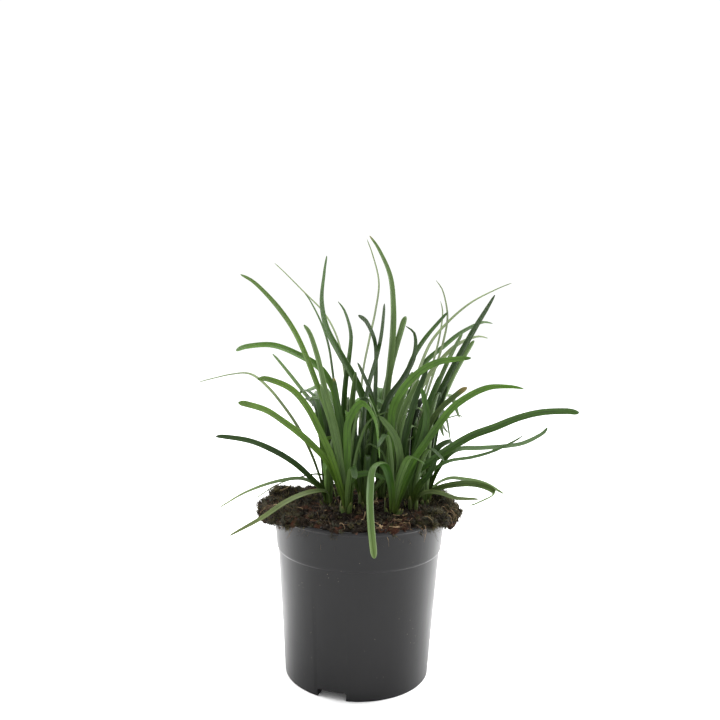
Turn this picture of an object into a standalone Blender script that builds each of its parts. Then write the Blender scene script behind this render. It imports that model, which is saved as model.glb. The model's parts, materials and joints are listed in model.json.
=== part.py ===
"""Liriope in its nursery pot: a plastic pot, the root ball with its mossy top, and eleven leafy tufts.

Metres, +Z up.  The origin is on the floor under the middle of the pot, and the front is -Y.
"""
import math
import random
from collections import namedtuple

import bmesh
import bpy
from mathutils import Matrix, Quaternion, Vector, noise
from mathutils.bvhtree import BVHTree

MM = 0.001

# Pot
RIM_RADIUS = 65.0 * MM
RIM_TOP = 127.0 * MM
BAND_BOTTOM = 98.6 * MM
BAND_BOTTOM_RADIUS = 61.9 * MM
BODY_TOP_RADIUS = 60.9 * MM
FOOT_RADIUS = 54.4 * MM
LIP_HEIGHT = 2.4 * MM
LIP_OVER = 0.8 * MM
BEAD = 0.5 * MM
SHOULDER = 2.0 * MM
WALL = 1.3 * MM
FLOOR_THICK = 1.5 * MM
EDGE = 0.7 * MM
POT_SIDES = 48

# Three drainage channels under the foot, each open at the side as a notch
CHANNEL_WIDTH = 22.0 * MM
CHANNEL_HEIGHT = 6.0 * MM
CHANNEL_START = 15.0 * MM
CHANNEL_COUNT = 3
FIRST_CHANNEL = math.radians(-109.0)
DRAIN_RADIUS = 4.0 * MM
DRAIN_AT = 36.0 * MM
DRAIN_SIDES = 16

# Soil
GAP = 0.35 * MM
CUTTER_DEPTH = 18.0 * MM
SOIL_BOTTOM = FLOOR_THICK + GAP
SOIL_EDGE = 126.8 * MM
SOIL_MOUND = 3.5 * MM
SOIL_LUMP = 2.4 * MM
SOIL_SIDES = 48
SOIL_RINGS = 8
LUMP_SIZE = 7.5 * MM
SIDE_HEAPS = [
    (-56.0, 2.0, 4.5, 12.0),
    (62.0, 6.0, 3.0, 8.0),
    (-30.0, 40.0, 3.0, 13.0),
    (26.0, 50.0, 3.5, 10.0),
]

# Clumps of moss and peat that lie over the rim: place and half sizes in millimetres
CLUMPS = [
    ((-64, -4, 122), (12, 16, 9.5)),
    ((-57, 12, 129), (13, 13, 7)),
    ((-53, -21, 125), (13, 11, 6)),
    ((66, -2, 122.5), (8.5, 14, 10.5)),
    ((60, 15, 128), (9, 10, 7.5)),
    ((51, -24, 125), (10, 10, 6)),
]
CLUMP_ROUGH = 3.4 * MM

# Tufts: middle of each crown on the soil, in millimetres, and the turn of its oval in degrees
TUFTS = {
    "a": (-24, -6, 80),
    "b": (-9, -25, 20),
    "c": (-14, 14, 120),
    "d": (4, -5, 60),
    "e": (24, -25, 150),
    "f": (17, 13, 30),
    "g": (39, -11, 100),
    "h": (35, 12, 45),
    "i": (-2, 33, 160),
    "j": (22, 35, 10),
    "k": (49, 4, 90),
}
CROWN_LONG = 6.4 * MM
CROWN_SHORT = 4.8 * MM
CROWN_BOTTOM = 113.0 * MM
CROWN_TOP = 136.0 * MM
CROWN_SIDES = 10
CROWN_SHAPE = [(CROWN_BOTTOM, 1.0), (CROWN_TOP - 5.0 * MM, 0.95), (CROWN_TOP, 0.6)]
ROOT_LEVEL = 121.0 * MM
ROOT_OFF = 0.8 * MM
NECK_LEVEL = 133.0 * MM
NECK_OFF = 2.2 * MM

# Blades
BLADE_THICK = 1.3 * MM
BLADE_FOLD = 0.13
BLADE_STEP = 17.0 * MM
CURVE_STEPS = 24
FEWEST_STEPS = 6
MOST_STEPS = 10
TIP_START = 0.94
WIDTH_ALONG = [(0.0, 0.6), (0.12, 0.72), (0.4, 1.0), (0.65, 0.95), (0.82, 0.78), (0.94, 0.46), (1.0, 0.14)]

# The leaves seen from the front, read where they cross the upright plane through the pot's middle
EYE = Vector((-2.1, -620.0, 309.0)) * MM
FACING_ACROSS = Vector((-1.0, 0.0, 0.0))
Leaf = namedtuple("Leaf", "tuft width turn twist middle_depth tip_depth guide")
LEAVES = [
    Leaf("b", 5.2, 47, 0, -28, -48, [(-20, 177), (-34, 218), (-52, 259), (-75, 288), (-91, 299)]),
    Leaf("d", 5.7, 30, 0, -8, 10, [(-13, 173), (-24, 221), (-47, 240), (-73, 248), (-94, 243)]),
    Leaf("c", 3.6, 72, 0, 30, 50, [(-12, 208), (-22, 260), (-47, 290), (-66, 308)]),
    Leaf("c", 3.4, 65, 0, 12, 20, [(-18, 192), (-26, 248), (-37, 276), (-45, 288)]),
    Leaf("f", 6.5, 10, 50, 5, -5, [(11, 178), (-4, 219), (-26, 257), (-32, 284), (-28, 314)]),
    Leaf("b", 4.8, 150, 20, -32, -42, [(-17, 173), (-26, 207), (-36, 248), (-44, 263)]),
    Leaf("c", 4.6, 45, 0, 28, 42, [(-21, 177), (-33, 201), (-44, 212), (-54, 226), (-67, 241)]),
    Leaf("b", 5.2, 35, 0, -48, -72, [(-19, 154), (-29, 179), (-46, 209), (-65, 221), (-78, 222)]),
    Leaf("a", 3.8, 62, 0, 8, 32, [(-37, 165), (-55, 197), (-79, 223), (-98, 225), (-121, 219)]),
    Leaf("b", 4.8, 40, 0, -52, -95, [(-24, 158), (-38, 174), (-55, 188), (-74, 200), (-92, 204)]),
    Leaf(
        "a", 4.6, 50, 0, -25, -50,
        [(-29, 141), (-39, 149), (-53, 161), (-72, 171), (-91, 177), (-109, 178)],
    ),
    Leaf("a", 4.6, 55, 0, 2, 20, [(-34, 144), (-49, 146), (-69, 142), (-89, 134), (-106, 123)]),
    Leaf("c", 3.7, 60, 0, 32, 52, [(-21, 150), (-36, 150), (-53, 146), (-66, 140), (-79, 131)]),
    Leaf("a", 4.1, 60, 0, -35, -52, [(-26, 139), (-45, 134), (-60, 126), (-75, 115), (-99, 101)]),
    Leaf("c", 5.2, 10, 45, 15, 15, [(-14, 208), (-10, 249), (-11, 267), (-19, 281)]),
    Leaf("d", 4.3, 40, 0, 0, -15, [(9, 208), (9, 245), (5, 262), (-4, 271)]),
    Leaf("i", 3.4, 65, 0, 30, 30, [(0, 223), (9, 274), (10, 301), (1, 327)]),
    Leaf("f", 5.7, 160, -20, 5, -12, [(17, 201), (21, 253), (20, 291), (13, 313), (3, 329)]),
    Leaf("d", 4.6, 45, 0, -5, 10, [(3, 204), (10, 238), (14, 260), (15, 280)]),
    Leaf("f", 6.2, 155, 0, 8, 4, [(17, 190), (18, 212), (22, 235), (26, 253), (31, 271)]),
    Leaf("d", 4.1, 40, 0, -18, -26, [(9, 193), (6, 214), (-4, 236)]),
    Leaf("b", 5.7, 15, 0, -36, -60, [(-10, 170), (-9, 193), (0, 206), (8, 199), (12, 185), (14, 164)]),
    Leaf("d", 5.2, 20, 0, -22, -42, [(-5, 185), (-3, 203), (3, 210), (9, 203), (13, 187)]),
    Leaf("e", 6.1, 25, -73, -58, -86, [(22, 149), (15, 163), (8, 155), (7, 132), (9, 108), (12, 86)]),
    Leaf("b", 4.6, 30, 0, -30, -34, [(-6, 147), (3, 152), (13, 151), (21, 147)]),
    Leaf("e", 5.7, 15, 0, -36, -46, [(29, 167), (22, 186), (13, 196)]),
    Leaf("d", 4.6, 20, 0, -12, -20, [(12, 185), (10, 201), (5, 213)]),
    Leaf("a", 4.6, 20, 40, -11, -11, [(-25, 166), (-30, 178), (-25, 182), (-18, 176)]),
    Leaf("h", 5.7, 40, 0, 0, -20, [(44, 179), (61, 220), (79, 257), (88, 273), (96, 288)]),
    Leaf("j", 5.2, 40, 0, 48, 62, [(30, 193), (45, 234), (59, 248), (73, 260), (86, 267), (95, 267)]),
    Leaf("h", 4.8, 45, 0, 20, 36, [(36, 194), (50, 228), (66, 247), (79, 256), (92, 256)]),
    Leaf("k", 5.7, 155, 0, 10, 10, [(50, 179), (62, 213), (72, 236), (82, 254)]),
    Leaf("e", 5.7, 25, 0, -45, -72, [(23, 197), (30, 216), (46, 233), (62, 239), (80, 241)]),
    Leaf("j", 4.6, 45, -40, 30, 30, [(32, 193), (47, 245), (64, 269), (85, 286), (108, 297)]),
    Leaf("f", 4.8, 35, 0, 16, 22, [(27, 193), (34, 231), (46, 255), (62, 275)]),
    Leaf("h", 3.3, 65, 0, 26, 26, [(44, 194), (58, 247), (62, 270), (59, 287), (52, 298)]),
    Leaf("j", 3.3, 65, 0, 36, 36, [(47, 216), (55, 250), (58, 270), (56, 283)]),
    Leaf("d", 5.2, 35, 0, -20, -30, [(16, 199), (27, 217), (36, 237), (42, 252), (31, 264)]),
    Leaf("g", 4.8, 35, 0, -22, -26, [(44, 171), (53, 194), (65, 209), (78, 219)]),
    Leaf("e", 5.2, 40, 25, -50, -84, [(37, 157), (51, 180), (69, 205), (88, 217), (102, 221), (120, 219)]),
    Leaf(
        "g", 5.7, 35, 30, -28, -62,
        [(41, 151), (59, 167), (81, 182), (103, 191), (125, 200), (148, 203), (162, 202)],
    ),
    Leaf("k", 4.8, 45, 0, 12, 30, [(65, 167), (88, 173), (108, 175), (129, 180), (139, 190)]),
    Leaf("g", 3.7, 55, 0, -6, -16, [(54, 156), (69, 163), (89, 167), (110, 176), (121, 184)]),
    Leaf("k", 4.1, 60, 0, 22, 42, [(60, 147), (75, 149), (94, 146), (109, 138)]),
    Leaf("k", 4.8, 40, 0, -12, -34, [(60, 143), (75, 145), (94, 145), (102, 141), (97, 134), (83, 129)]),
    Leaf("g", 3.2, 65, 0, -30, -46, [(53, 140), (69, 135), (91, 134)]),
    Leaf("g", 4.8, 30, 0, -26, -36, [(44, 143), (52, 153), (57, 165)]),
    Leaf("e", 6.1, 165, 0, -24, -24, [(29, 186), (34, 205), (42, 224)]),
    Leaf("e", 5.7, 15, 0, -38, -52, [(39, 159), (48, 186), (48, 205), (44, 218)]),
    Leaf("b", 5.2, 30, 0, -34, -46, [(-14, 150), (-17, 164), (-21, 182), (-27, 204), (-31, 218)]),
    Leaf("b", 5.4, 20, 0, -24, -30, [(-10, 150), (-12, 170), (-15, 188), (-19, 207), (-21, 224)]),
    Leaf("g", 5.4, 30, 0, -16, -20, [(39, 150), (41, 168), (45, 188), (51, 209), (58, 228)]),
    Leaf("e", 5.4, 20, 0, -30, -36, [(29, 150), (31, 170), (35, 190), (41, 213), (48, 233)]),
    Leaf("h", 5.6, 30, 0, 4, 0, [(45, 160), (50, 180), (57, 202), (63, 220)]),
    Leaf("d", 5.2, 160, 0, -10, -8, [(19, 150), (22, 170), (25, 190), (31, 212), (37, 230)]),
    Leaf("c", 5.4, 165, 0, 8, 6, [(-6, 150), (-5, 168), (-7, 189), (-7, 208), (-5, 229)]),
    Leaf("k", 5.0, 40, 0, 16, 22, [(50, 190), (54, 212), (60, 230), (67, 247), (73, 259)]),
]

# The leaves behind and between them, drawn by a rule
SEED = 11
DRAWN_EACH = [("upright", 3), ("back", 3), ("front", 1)]
# middle direction and its spread in degrees, reach, rise and share of the rise kept at the tip
DRAWN_KINDS = {
    "upright": (90.0, 140.0, (8, 42), (45, 95), (0.92, 1.0)),
    "back": (90.0, 36.0, (45, 105), (50, 92), (0.25, 0.95)),
    "front": (-90.0, 40.0, (18, 46), (34, 70), (0.55, 0.95)),
}
FRONT_TUFTS = "abdeg"
DRAWN_WIDTHS = (4.2, 6.0)
DRAWN_TURN = 35.0
DRAWN_TWIST = 50.0
MOST_DRAWS = 150
FAN_MIDDLE = 14.0 * MM
FAN_FOOT = 145.0 * MM
FAN_HALF_WIDTH = 40.0 * MM
FAN_SPREAD = 0.5
FAN_TOP = 218.0 * MM
FAN_BOTTOM = 138.0 * MM

# Keeping blades clear of each other
BLADE_CLEAR = 0.3 * MM
PUSH = 0.9 * MM
NUDGE_RISE = 1.4
NUDGE_FALL = 0.4
MOST_ROUNDS = 60
SAME_TUFT_FROM = 0.3
FLOOR_CLEAR = 2.6 * MM
CROWN_REACH = 8.0 * MM
CLUMP_MARGIN = 2.0
RIM_MARGIN = 2.0 * MM

POT_COLOUR = (0.048, 0.048, 0.05)
SOIL_COLOUR = (0.055, 0.035, 0.022)
LEAF_COLOUR = (0.075, 0.16, 0.035)


def clear_scene():
    for thing in list(bpy.data.objects):
        bpy.data.objects.remove(thing, do_unlink=True)


def plain_material(name, colour, roughness):
    material = bpy.data.materials.new(name)
    material.use_nodes = True
    shader = material.node_tree.nodes["Principled BSDF"]
    shader.inputs["Base Color"].default_value = (*colour, 1.0)
    shader.inputs["Roughness"].default_value = roughness
    shader.inputs["Metallic"].default_value = 0.0
    return material


def mesh_object(name, vertices, faces, collection=None):
    mesh = bpy.data.meshes.new(name)
    mesh.from_pydata([tuple(vertex) for vertex in vertices], [], faces)
    mesh.update()
    thing = bpy.data.objects.new(name, mesh)
    (collection or bpy.context.scene.collection).objects.link(thing)
    return thing


def face_outward(thing):
    work = bmesh.new()
    work.from_mesh(thing.data)
    bmesh.ops.recalc_face_normals(work, faces=work.faces)
    work.to_mesh(thing.data)
    work.free()


def lathe(name, profile, sides, collection=None):
    """Turn a profile of (radius, height) about Z; a point on the axis becomes one vertex."""
    vertices = []
    rings = []
    for radius, height in profile:
        if radius == 0.0:
            rings.append([len(vertices)] * sides)
            vertices.append((0.0, 0.0, height))
            continue
        rings.append(list(range(len(vertices), len(vertices) + sides)))
        for k in range(sides):
            angle = 2.0 * math.pi * k / sides
            vertices.append((radius * math.cos(angle), radius * math.sin(angle), height))
    faces = []
    for lower, upper in zip(rings, rings[1:]):
        faces.extend(band_faces(lower, upper))
    if profile[0][0] > 0.0:
        faces.extend(band_faces(rings[-1], rings[0]))
    thing = mesh_object(name, vertices, faces, collection)
    face_outward(thing)
    return thing


def band_faces(lower, upper):
    faces = []
    sides = len(lower)
    for k in range(sides):
        corner = [lower[k], lower[(k + 1) % sides], upper[(k + 1) % sides], upper[k]]
        kept = [v for n, v in enumerate(corner) if v not in corner[:n]]
        if len(kept) > 2:
            faces.append(kept)
    return faces


def box(name, low, high, turn=0.0, collection=None):
    corners = [(x, y, z) for z in (low[2], high[2]) for y in (low[1], high[1]) for x in (low[0], high[0])]
    faces = [(0, 2, 3, 1), (4, 5, 7, 6), (0, 1, 5, 4), (2, 6, 7, 3), (0, 4, 6, 2), (1, 3, 7, 5)]
    rotation = Matrix.Rotation(turn, 3, "Z")
    return mesh_object(name, [rotation @ Vector(corner) for corner in corners], faces, collection)


def oval_column(name, centre, half_long, half_short, turn, levels, sides, collection=None):
    """A closed column; levels are (height, scale) from the bottom up."""
    vertices = [(centre.x, centre.y, levels[0][0])]
    rings = []
    for height, scale in levels:
        rings.append(list(range(len(vertices), len(vertices) + sides)))
        for k in range(sides):
            angle = 2.0 * math.pi * k / sides
            flat = Vector((half_long * math.cos(angle), half_short * math.sin(angle), 0.0)) * scale
            flat.rotate(Matrix.Rotation(turn, 3, "Z"))
            vertices.append((centre.x + flat.x, centre.y + flat.y, height))
    faces = band_faces([0] * sides, rings[0])
    for lower, upper in zip(rings, rings[1:]):
        faces.extend(band_faces(lower, upper))
    vertices.append((centre.x, centre.y, levels[-1][0]))
    faces.extend(band_faces(rings[-1], [len(vertices) - 1] * sides))
    thing = mesh_object(name, vertices, faces, collection)
    face_outward(thing)
    return thing


def helper_collection(name):
    collection = bpy.data.collections.new(name)
    bpy.context.scene.collection.children.link(collection)
    return collection


def combine(thing, collection, operation):
    """Join or cut with everything in a collection, then remove what was in it."""
    modifier = thing.modifiers.new(operation.lower(), "BOOLEAN")
    modifier.operand_type = "COLLECTION"
    modifier.collection = collection
    modifier.operation = operation
    modifier.solver = "EXACT"
    depsgraph = bpy.context.evaluated_depsgraph_get()
    made = bpy.data.meshes.new_from_object(thing.evaluated_get(depsgraph))
    thing.modifiers.clear()
    old = thing.data
    thing.data = made
    bpy.data.meshes.remove(old)
    for used in list(collection.objects):
        bpy.data.objects.remove(used, do_unlink=True)
    bpy.data.collections.remove(collection)


def finish(thing, material, smooth_angle):
    mesh = thing.data
    mesh.materials.clear()
    mesh.materials.append(material)
    mesh.polygons.foreach_set("material_index", [0] * len(mesh.polygons))
    mesh.shade_smooth()
    mesh.set_sharp_from_angle(angle=smooth_angle)


# Pot

def pot_profile():
    lip_bottom = RIM_TOP - LIP_HEIGHT
    under_lip = RIM_RADIUS - LIP_OVER
    outside = [
        (0.0, 0.0),
        (FOOT_RADIUS - EDGE, 0.0),
        (FOOT_RADIUS, EDGE),
        (BODY_TOP_RADIUS, BAND_BOTTOM - 2.4 * BEAD),
        (BODY_TOP_RADIUS + BEAD, BAND_BOTTOM - 1.6 * BEAD),
        (BAND_BOTTOM_RADIUS, BAND_BOTTOM),
        (under_lip, lip_bottom - EDGE),
        (RIM_RADIUS, lip_bottom),
        (RIM_RADIUS, RIM_TOP - EDGE),
        (RIM_RADIUS - EDGE, RIM_TOP),
    ]
    inside = [
        (under_lip - WALL + EDGE / 2.0, RIM_TOP - EDGE / 3.0),
        (under_lip - WALL, lip_bottom),
        (BAND_BOTTOM_RADIUS - WALL, BAND_BOTTOM),
        (BODY_TOP_RADIUS - WALL, BAND_BOTTOM - SHOULDER),
        (FOOT_RADIUS - WALL, FLOOR_THICK),
        (0.0, FLOOR_THICK),
    ]
    return outside + inside


def inner_radius(height):
    """Radius of the pot's inner wall below the band."""
    share = (height - FLOOR_THICK) / (BAND_BOTTOM - SHOULDER - FLOOR_THICK)
    return FOOT_RADIUS - WALL + share * (BODY_TOP_RADIUS - FOOT_RADIUS)


def channel_turns():
    return [FIRST_CHANNEL + 2.0 * math.pi * k / CHANNEL_COUNT for k in range(CHANNEL_COUNT)]


def channel_ridges(collection, extra):
    """The raised backs of the channels, seen from inside the pot."""
    half = CHANNEL_WIDTH / 2.0 + WALL + extra
    for turn in channel_turns():
        low = (CHANNEL_START - WALL - extra, -half, FLOOR_THICK / 2.0)
        high = (inner_radius(0.0) + WALL / 4.0 + 20.0 * extra, half, CHANNEL_HEIGHT + WALL + extra)
        box("ridge", low, high, turn, collection)


def channel_cutters(collection):
    half = CHANNEL_WIDTH / 2.0
    for turn in channel_turns():
        low = (CHANNEL_START, -half, -CHANNEL_HEIGHT)
        box("channel", low, (RIM_RADIUS, half, CHANNEL_HEIGHT), turn, collection)
        place = Vector((DRAIN_AT * math.cos(turn), DRAIN_AT * math.sin(turn), 0.0))
        levels = [(CHANNEL_HEIGHT - WALL, 1.0), (CHANNEL_HEIGHT + 2.0 * WALL, 1.0)]
        oval_column("drain", place, DRAIN_RADIUS, DRAIN_RADIUS, 0.0, levels, DRAIN_SIDES, collection)


def make_pot():
    pot = lathe("pot", pot_profile(), POT_SIDES)
    ridges = helper_collection("ridges")
    channel_ridges(ridges, 0.0)
    combine(pot, ridges, "UNION")
    cutters = helper_collection("channels")
    channel_cutters(cutters)
    combine(pot, cutters, "DIFFERENCE")
    finish(pot, plain_material("pot", POT_COLOUR, 0.4), math.radians(30.0))


# Soil

def soil_height(x, y):
    """Height of the soil's surface over a place, before the clumps are laid on."""
    reach = min(1.0, math.hypot(x, y) / RIM_RADIUS)
    height = SOIL_EDGE + SOIL_MOUND * (1.0 - reach * reach)
    for heap_x, heap_y, rise, spread in SIDE_HEAPS:
        away = math.hypot(x - heap_x * MM, y - heap_y * MM) / (spread * MM)
        height += rise * MM * math.exp(-away * away) * (1.0 - reach ** 8)
    where = Vector((x, y, 0.0)) / LUMP_SIZE
    return height + SOIL_LUMP * (noise.noise(where) + 0.5 * noise.noise(where * 2.3))


def soil_body():
    inner_band = BAND_BOTTOM_RADIUS - WALL - GAP
    inner_lip = RIM_RADIUS - LIP_OVER - WALL - GAP
    side = [
        (inner_radius(SOIL_BOTTOM) - GAP, SOIL_BOTTOM),
        (BODY_TOP_RADIUS - WALL - GAP, BAND_BOTTOM - SHOULDER),
        (inner_band, BAND_BOTTOM),
        (inner_lip, RIM_TOP - LIP_HEIGHT),
    ]
    vertices = [(0.0, 0.0, SOIL_BOTTOM)]
    rings = []
    angles = [2.0 * math.pi * k / SOIL_SIDES for k in range(SOIL_SIDES)]
    for radius, height in side:
        rings.append(list(range(len(vertices), len(vertices) + SOIL_SIDES)))
        vertices.extend((radius * math.cos(a), radius * math.sin(a), height) for a in angles)
    for ring in range(SOIL_RINGS):
        rings.append(list(range(len(vertices), len(vertices) + SOIL_SIDES)))
        radius = inner_lip * (1.0 - (ring + 0.25) / SOIL_RINGS)
        for a in angles:
            x = radius * math.cos(a)
            y = radius * math.sin(a)
            vertices.append((x, y, soil_height(x, y)))
    vertices.append((0.0, 0.0, soil_height(0.0, 0.0)))
    faces = band_faces([0] * SOIL_SIDES, rings[0])
    for lower, upper in zip(rings, rings[1:]):
        faces.extend(band_faces(lower, upper))
    faces.extend(band_faces(rings[-1], [len(vertices) - 1] * SOIL_SIDES))
    soil = mesh_object("soil", vertices, faces)
    face_outward(soil)
    return soil


def clump(centre, sizes, collection):
    """A rough lump of moss and peat."""
    work = bmesh.new()
    bmesh.ops.create_icosphere(work, subdivisions=2, radius=1.0)
    middle = Vector(centre) * MM
    for vertex in work.verts:
        way = vertex.co.normalized()
        place = middle + Vector(a * b * MM for a, b in zip(way, sizes))
        rough = noise.noise(place / (5.0 * MM)) + 0.5 * noise.noise(place / (2.9 * MM))
        vertex.co = place + way * CLUMP_ROUGH * rough
    mesh = bpy.data.meshes.new("clump")
    work.to_mesh(mesh)
    work.free()
    collection.objects.link(bpy.data.objects.new("clump", mesh))


def rim_cutter(collection):
    """The pot's upper wall and rim, grown by the gap, to clear the clumps that lie over it."""
    lip_bottom = RIM_TOP - LIP_HEIGHT
    inner_lip = RIM_RADIUS - LIP_OVER - WALL - GAP
    foot = BAND_BOTTOM - CUTTER_DEPTH
    profile = [
        (inner_radius(foot) - GAP, foot),
        (BODY_TOP_RADIUS - WALL - GAP, BAND_BOTTOM - SHOULDER),
        (BAND_BOTTOM_RADIUS - WALL - GAP, BAND_BOTTOM),
        (inner_lip, lip_bottom),
        (inner_lip + EDGE / 2.0, RIM_TOP - EDGE / 3.0),
        (inner_lip + EDGE + GAP, RIM_TOP + GAP),
        (RIM_RADIUS - EDGE + GAP / 3.0, RIM_TOP + GAP),
        (RIM_RADIUS + GAP, RIM_TOP - EDGE + GAP / 3.0),
        (RIM_RADIUS + GAP, foot),
    ]
    lathe("rim", profile, POT_SIDES, collection)


def crown_holes(collection):
    for x, y, turn in TUFTS.values():
        place = Vector((x * MM, y * MM, 0.0))
        levels = [(CROWN_BOTTOM - GAP, 1.0), (CROWN_TOP + CUTTER_DEPTH, 1.0)]
        size = (CROWN_LONG + GAP, CROWN_SHORT + GAP)
        oval_column("hole", place, *size, math.radians(turn), levels, CROWN_SIDES, collection)


def keep_largest(thing):
    """Drop loose scraps and sealed hollows: everything but the largest shell joined by its edges."""
    work = bmesh.new()
    work.from_mesh(thing.data)
    left = set(work.faces)
    shells = []
    while left:
        stack = [left.pop()]
        shell = set(stack)
        while stack:
            for edge in stack.pop().edges:
                beside = [face for face in edge.link_faces if face not in shell]
                if len(edge.link_faces) == 2:
                    shell.update(beside)
                    stack.extend(beside)
        left -= shell
        shells.append(shell)
    shells.sort(key=lambda shell: sum(face.calc_area() for face in shell))
    for shell in shells[:-1]:
        bmesh.ops.delete(work, geom=list(shell), context="FACES")
    loose = [vertex for vertex in work.verts if not vertex.link_faces]
    bmesh.ops.delete(work, geom=loose, context="VERTS")
    work.to_mesh(thing.data)
    work.free()


def make_soil():
    soil = soil_body()
    clumps = helper_collection("clumps")
    for centre, sizes in CLUMPS:
        clump(centre, sizes, clumps)
    combine(soil, clumps, "UNION")
    cutters = helper_collection("soil cutters")
    rim_cutter(cutters)
    channel_ridges(cutters, GAP)
    crown_holes(cutters)
    combine(soil, cutters, "DIFFERENCE")
    keep_largest(soil)
    finish(soil, plain_material("soil", SOIL_COLOUR, 0.95), math.radians(50.0))


# Blades

class Blade:
    """One leaf: its tuft, its middle line and how wide it is and which way it faces."""

    def __init__(self, tuft, line, width, across, turn, twist):
        self.tuft = tuft
        self.line = line
        self.width = width
        self.across = across
        self.turn = turn
        self.twist = twist
        self.shares = step_shares(len(line) - 1)


def step_shares(steps):
    """Shares of the length at each cross-section, with a short last step to the tip."""
    return [TIP_START * k / (steps - 1) for k in range(steps)] + [1.0]


def smooth_line(points):
    """A smooth curve through every point, as many short straight steps."""
    ends = [points[0] * 2.0 - points[1]] + points + [points[-1] * 2.0 - points[-2]]
    dense = []
    for before, start, end, after in zip(ends, ends[1:], ends[2:], ends[3:]):
        for k in range(CURVE_STEPS):
            t = k / CURVE_STEPS
            a = start * 2.0
            b = (end - before) * t
            c = (before * 2.0 - start * 5.0 + end * 4.0 - after) * (t * t)
            d = (start * 3.0 - before - end * 3.0 + after) * (t ** 3)
            dense.append((a + b + c + d) * 0.5)
    dense.append(points[-1])
    return dense


def stepped_line(dense):
    """The cross-section places along a dense line, more of them on a longer one."""
    length = [0.0]
    for start, end in zip(dense, dense[1:]):
        length.append(length[-1] + (end - start).length)
    steps = round(length[-1] / BLADE_STEP)
    shares = step_shares(max(FEWEST_STEPS, min(MOST_STEPS, steps)))
    points = []
    place = 0
    for share in shares:
        wanted = share * length[-1]
        while place < len(dense) - 2 and length[place + 1] < wanted:
            place += 1
        span = length[place + 1] - length[place]
        points.append(dense[place].lerp(dense[place + 1], (wanted - length[place]) / span))
    return points


def crown_centre(tuft):
    x, y, _ = TUFTS[tuft]
    return Vector((x * MM, y * MM, 0.0))


def rooted_line(tuft, guide):
    """A blade's whole line: up from inside its crown, then through the guide points."""
    centre = crown_centre(tuft)
    lean = Vector((guide[0].x - centre.x, guide[0].y - centre.y, 0.0))
    side = lean.normalized() if lean.length > 1.0 * MM else Vector()
    root = centre + side * ROOT_OFF + Vector((0.0, 0.0, ROOT_LEVEL))
    neck = centre + side * NECK_OFF + Vector((0.0, 0.0, NECK_LEVEL))
    return stepped_line(smooth_line([root, neck] + guide))


def deepen(across, up, depth):
    """The place at a depth that the eye sees at this place on the upright plane."""
    share = (depth * MM - EYE.y) / -EYE.y
    return EYE + (Vector((across * MM, 0.0, up * MM)) - EYE) * share


def traced_blade(leaf):
    first = crown_centre(leaf.tuft).y / MM
    count = len(leaf.guide)
    guide = []
    for k, (across, up) in enumerate(leaf.guide):
        t = (k + 1) / count
        near = first + (leaf.middle_depth - first) * min(1.0, 2.0 * t)
        depth = near + (leaf.tip_depth - leaf.middle_depth) * max(0.0, 2.0 * t - 1.0)
        guide.append(deepen(across, up, depth))
    line = rooted_line(leaf.tuft, guide)
    outward = 1.0 if line[-1].x > line[0].x else -1.0
    turn = math.radians(-leaf.turn * outward)
    twist = math.radians(leaf.twist)
    return Blade(leaf.tuft, line, leaf.width * MM, FACING_ACROSS, turn, twist)


def inside_fan(points):
    """Whether a drawn blade stays inside the fan that the front view is filled with."""
    for point in points:
        share = -EYE.y / (point.y - EYE.y)
        seen = EYE + (point - EYE) * share
        if seen.z > FAN_TOP:
            return False
        if seen.z < FAN_BOTTOM and point.z > CROWN_TOP:
            return False
        half = FAN_HALF_WIDTH + FAN_SPREAD * max(0.0, seen.z - FAN_FOOT)
        if seen.z > FAN_FOOT and abs(seen.x - FAN_MIDDLE) > half:
            return False
    return True


def drawn_blade(tuft, kind, draw):
    middle, spread, reaches, rises, droops = DRAWN_KINDS[kind]
    centre = crown_centre(tuft)
    angle = math.radians(draw.gauss(middle, spread))
    reach = draw.uniform(*reaches) * MM
    rise = draw.uniform(*rises) * MM
    droop = draw.uniform(*droops)
    way = Vector((math.cos(angle), math.sin(angle), 0.0))
    foot = centre + Vector((0.0, 0.0, SOIL_EDGE + SOIL_MOUND))
    guide = [
        foot + way * reach * 0.22 + Vector((0.0, 0.0, rise * 0.6)),
        foot + way * reach * 0.58 + Vector((0.0, 0.0, rise)),
        foot + way * reach + Vector((0.0, 0.0, rise * droop)),
    ]
    line = rooted_line(tuft, guide)
    width = draw.uniform(*DRAWN_WIDTHS) * MM
    turn = math.radians(draw.uniform(-DRAWN_TURN, DRAWN_TURN))
    twist = math.radians(draw.uniform(-DRAWN_TWIST, DRAWN_TWIST))
    across = Vector((-math.sin(angle), math.cos(angle), 0.0))
    return Blade(tuft, line, width, across, turn, twist)


def is_clear(blade, blades, trees, boxes):
    """Whether a blade crosses none of the others."""
    tree = tree_of(blade)
    box_here = box_of(blade)
    for other, other_tree, other_box in zip(blades, trees, boxes):
        if boxes_meet(box_here, other_box) and crossing_steps(blade, tree, other, other_tree):
            return False
    return lift_over_soil([blade]) + clear_crowns([blade]) == 0


def add_drawn_blades(blades):
    """Fill in blades by the rule, each drawn again until it crosses no other."""
    draw = random.Random(SEED)
    trees = [tree_of(blade) for blade in blades]
    boxes = [box_of(blade) for blade in blades]
    for kind, count in DRAWN_EACH:
        for tuft in TUFTS:
            if kind == "front" and tuft not in FRONT_TUFTS:
                continue
            for _ in range(count):
                for _ in range(MOST_DRAWS):
                    blade = drawn_blade(tuft, kind, draw)
                    if inside_fan(blade.line[2:]) and is_clear(blade, blades, trees, boxes):
                        blades.append(blade)
                        trees.append(tree_of(blade))
                        boxes.append(box_of(blade))
                        break


def width_at(share):
    for (low, start), (high, end) in zip(WIDTH_ALONG, WIDTH_ALONG[1:]):
        if share <= high:
            return start + (end - start) * (share - low) / (high - low)
    return WIDTH_ALONG[-1][1]


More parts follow.
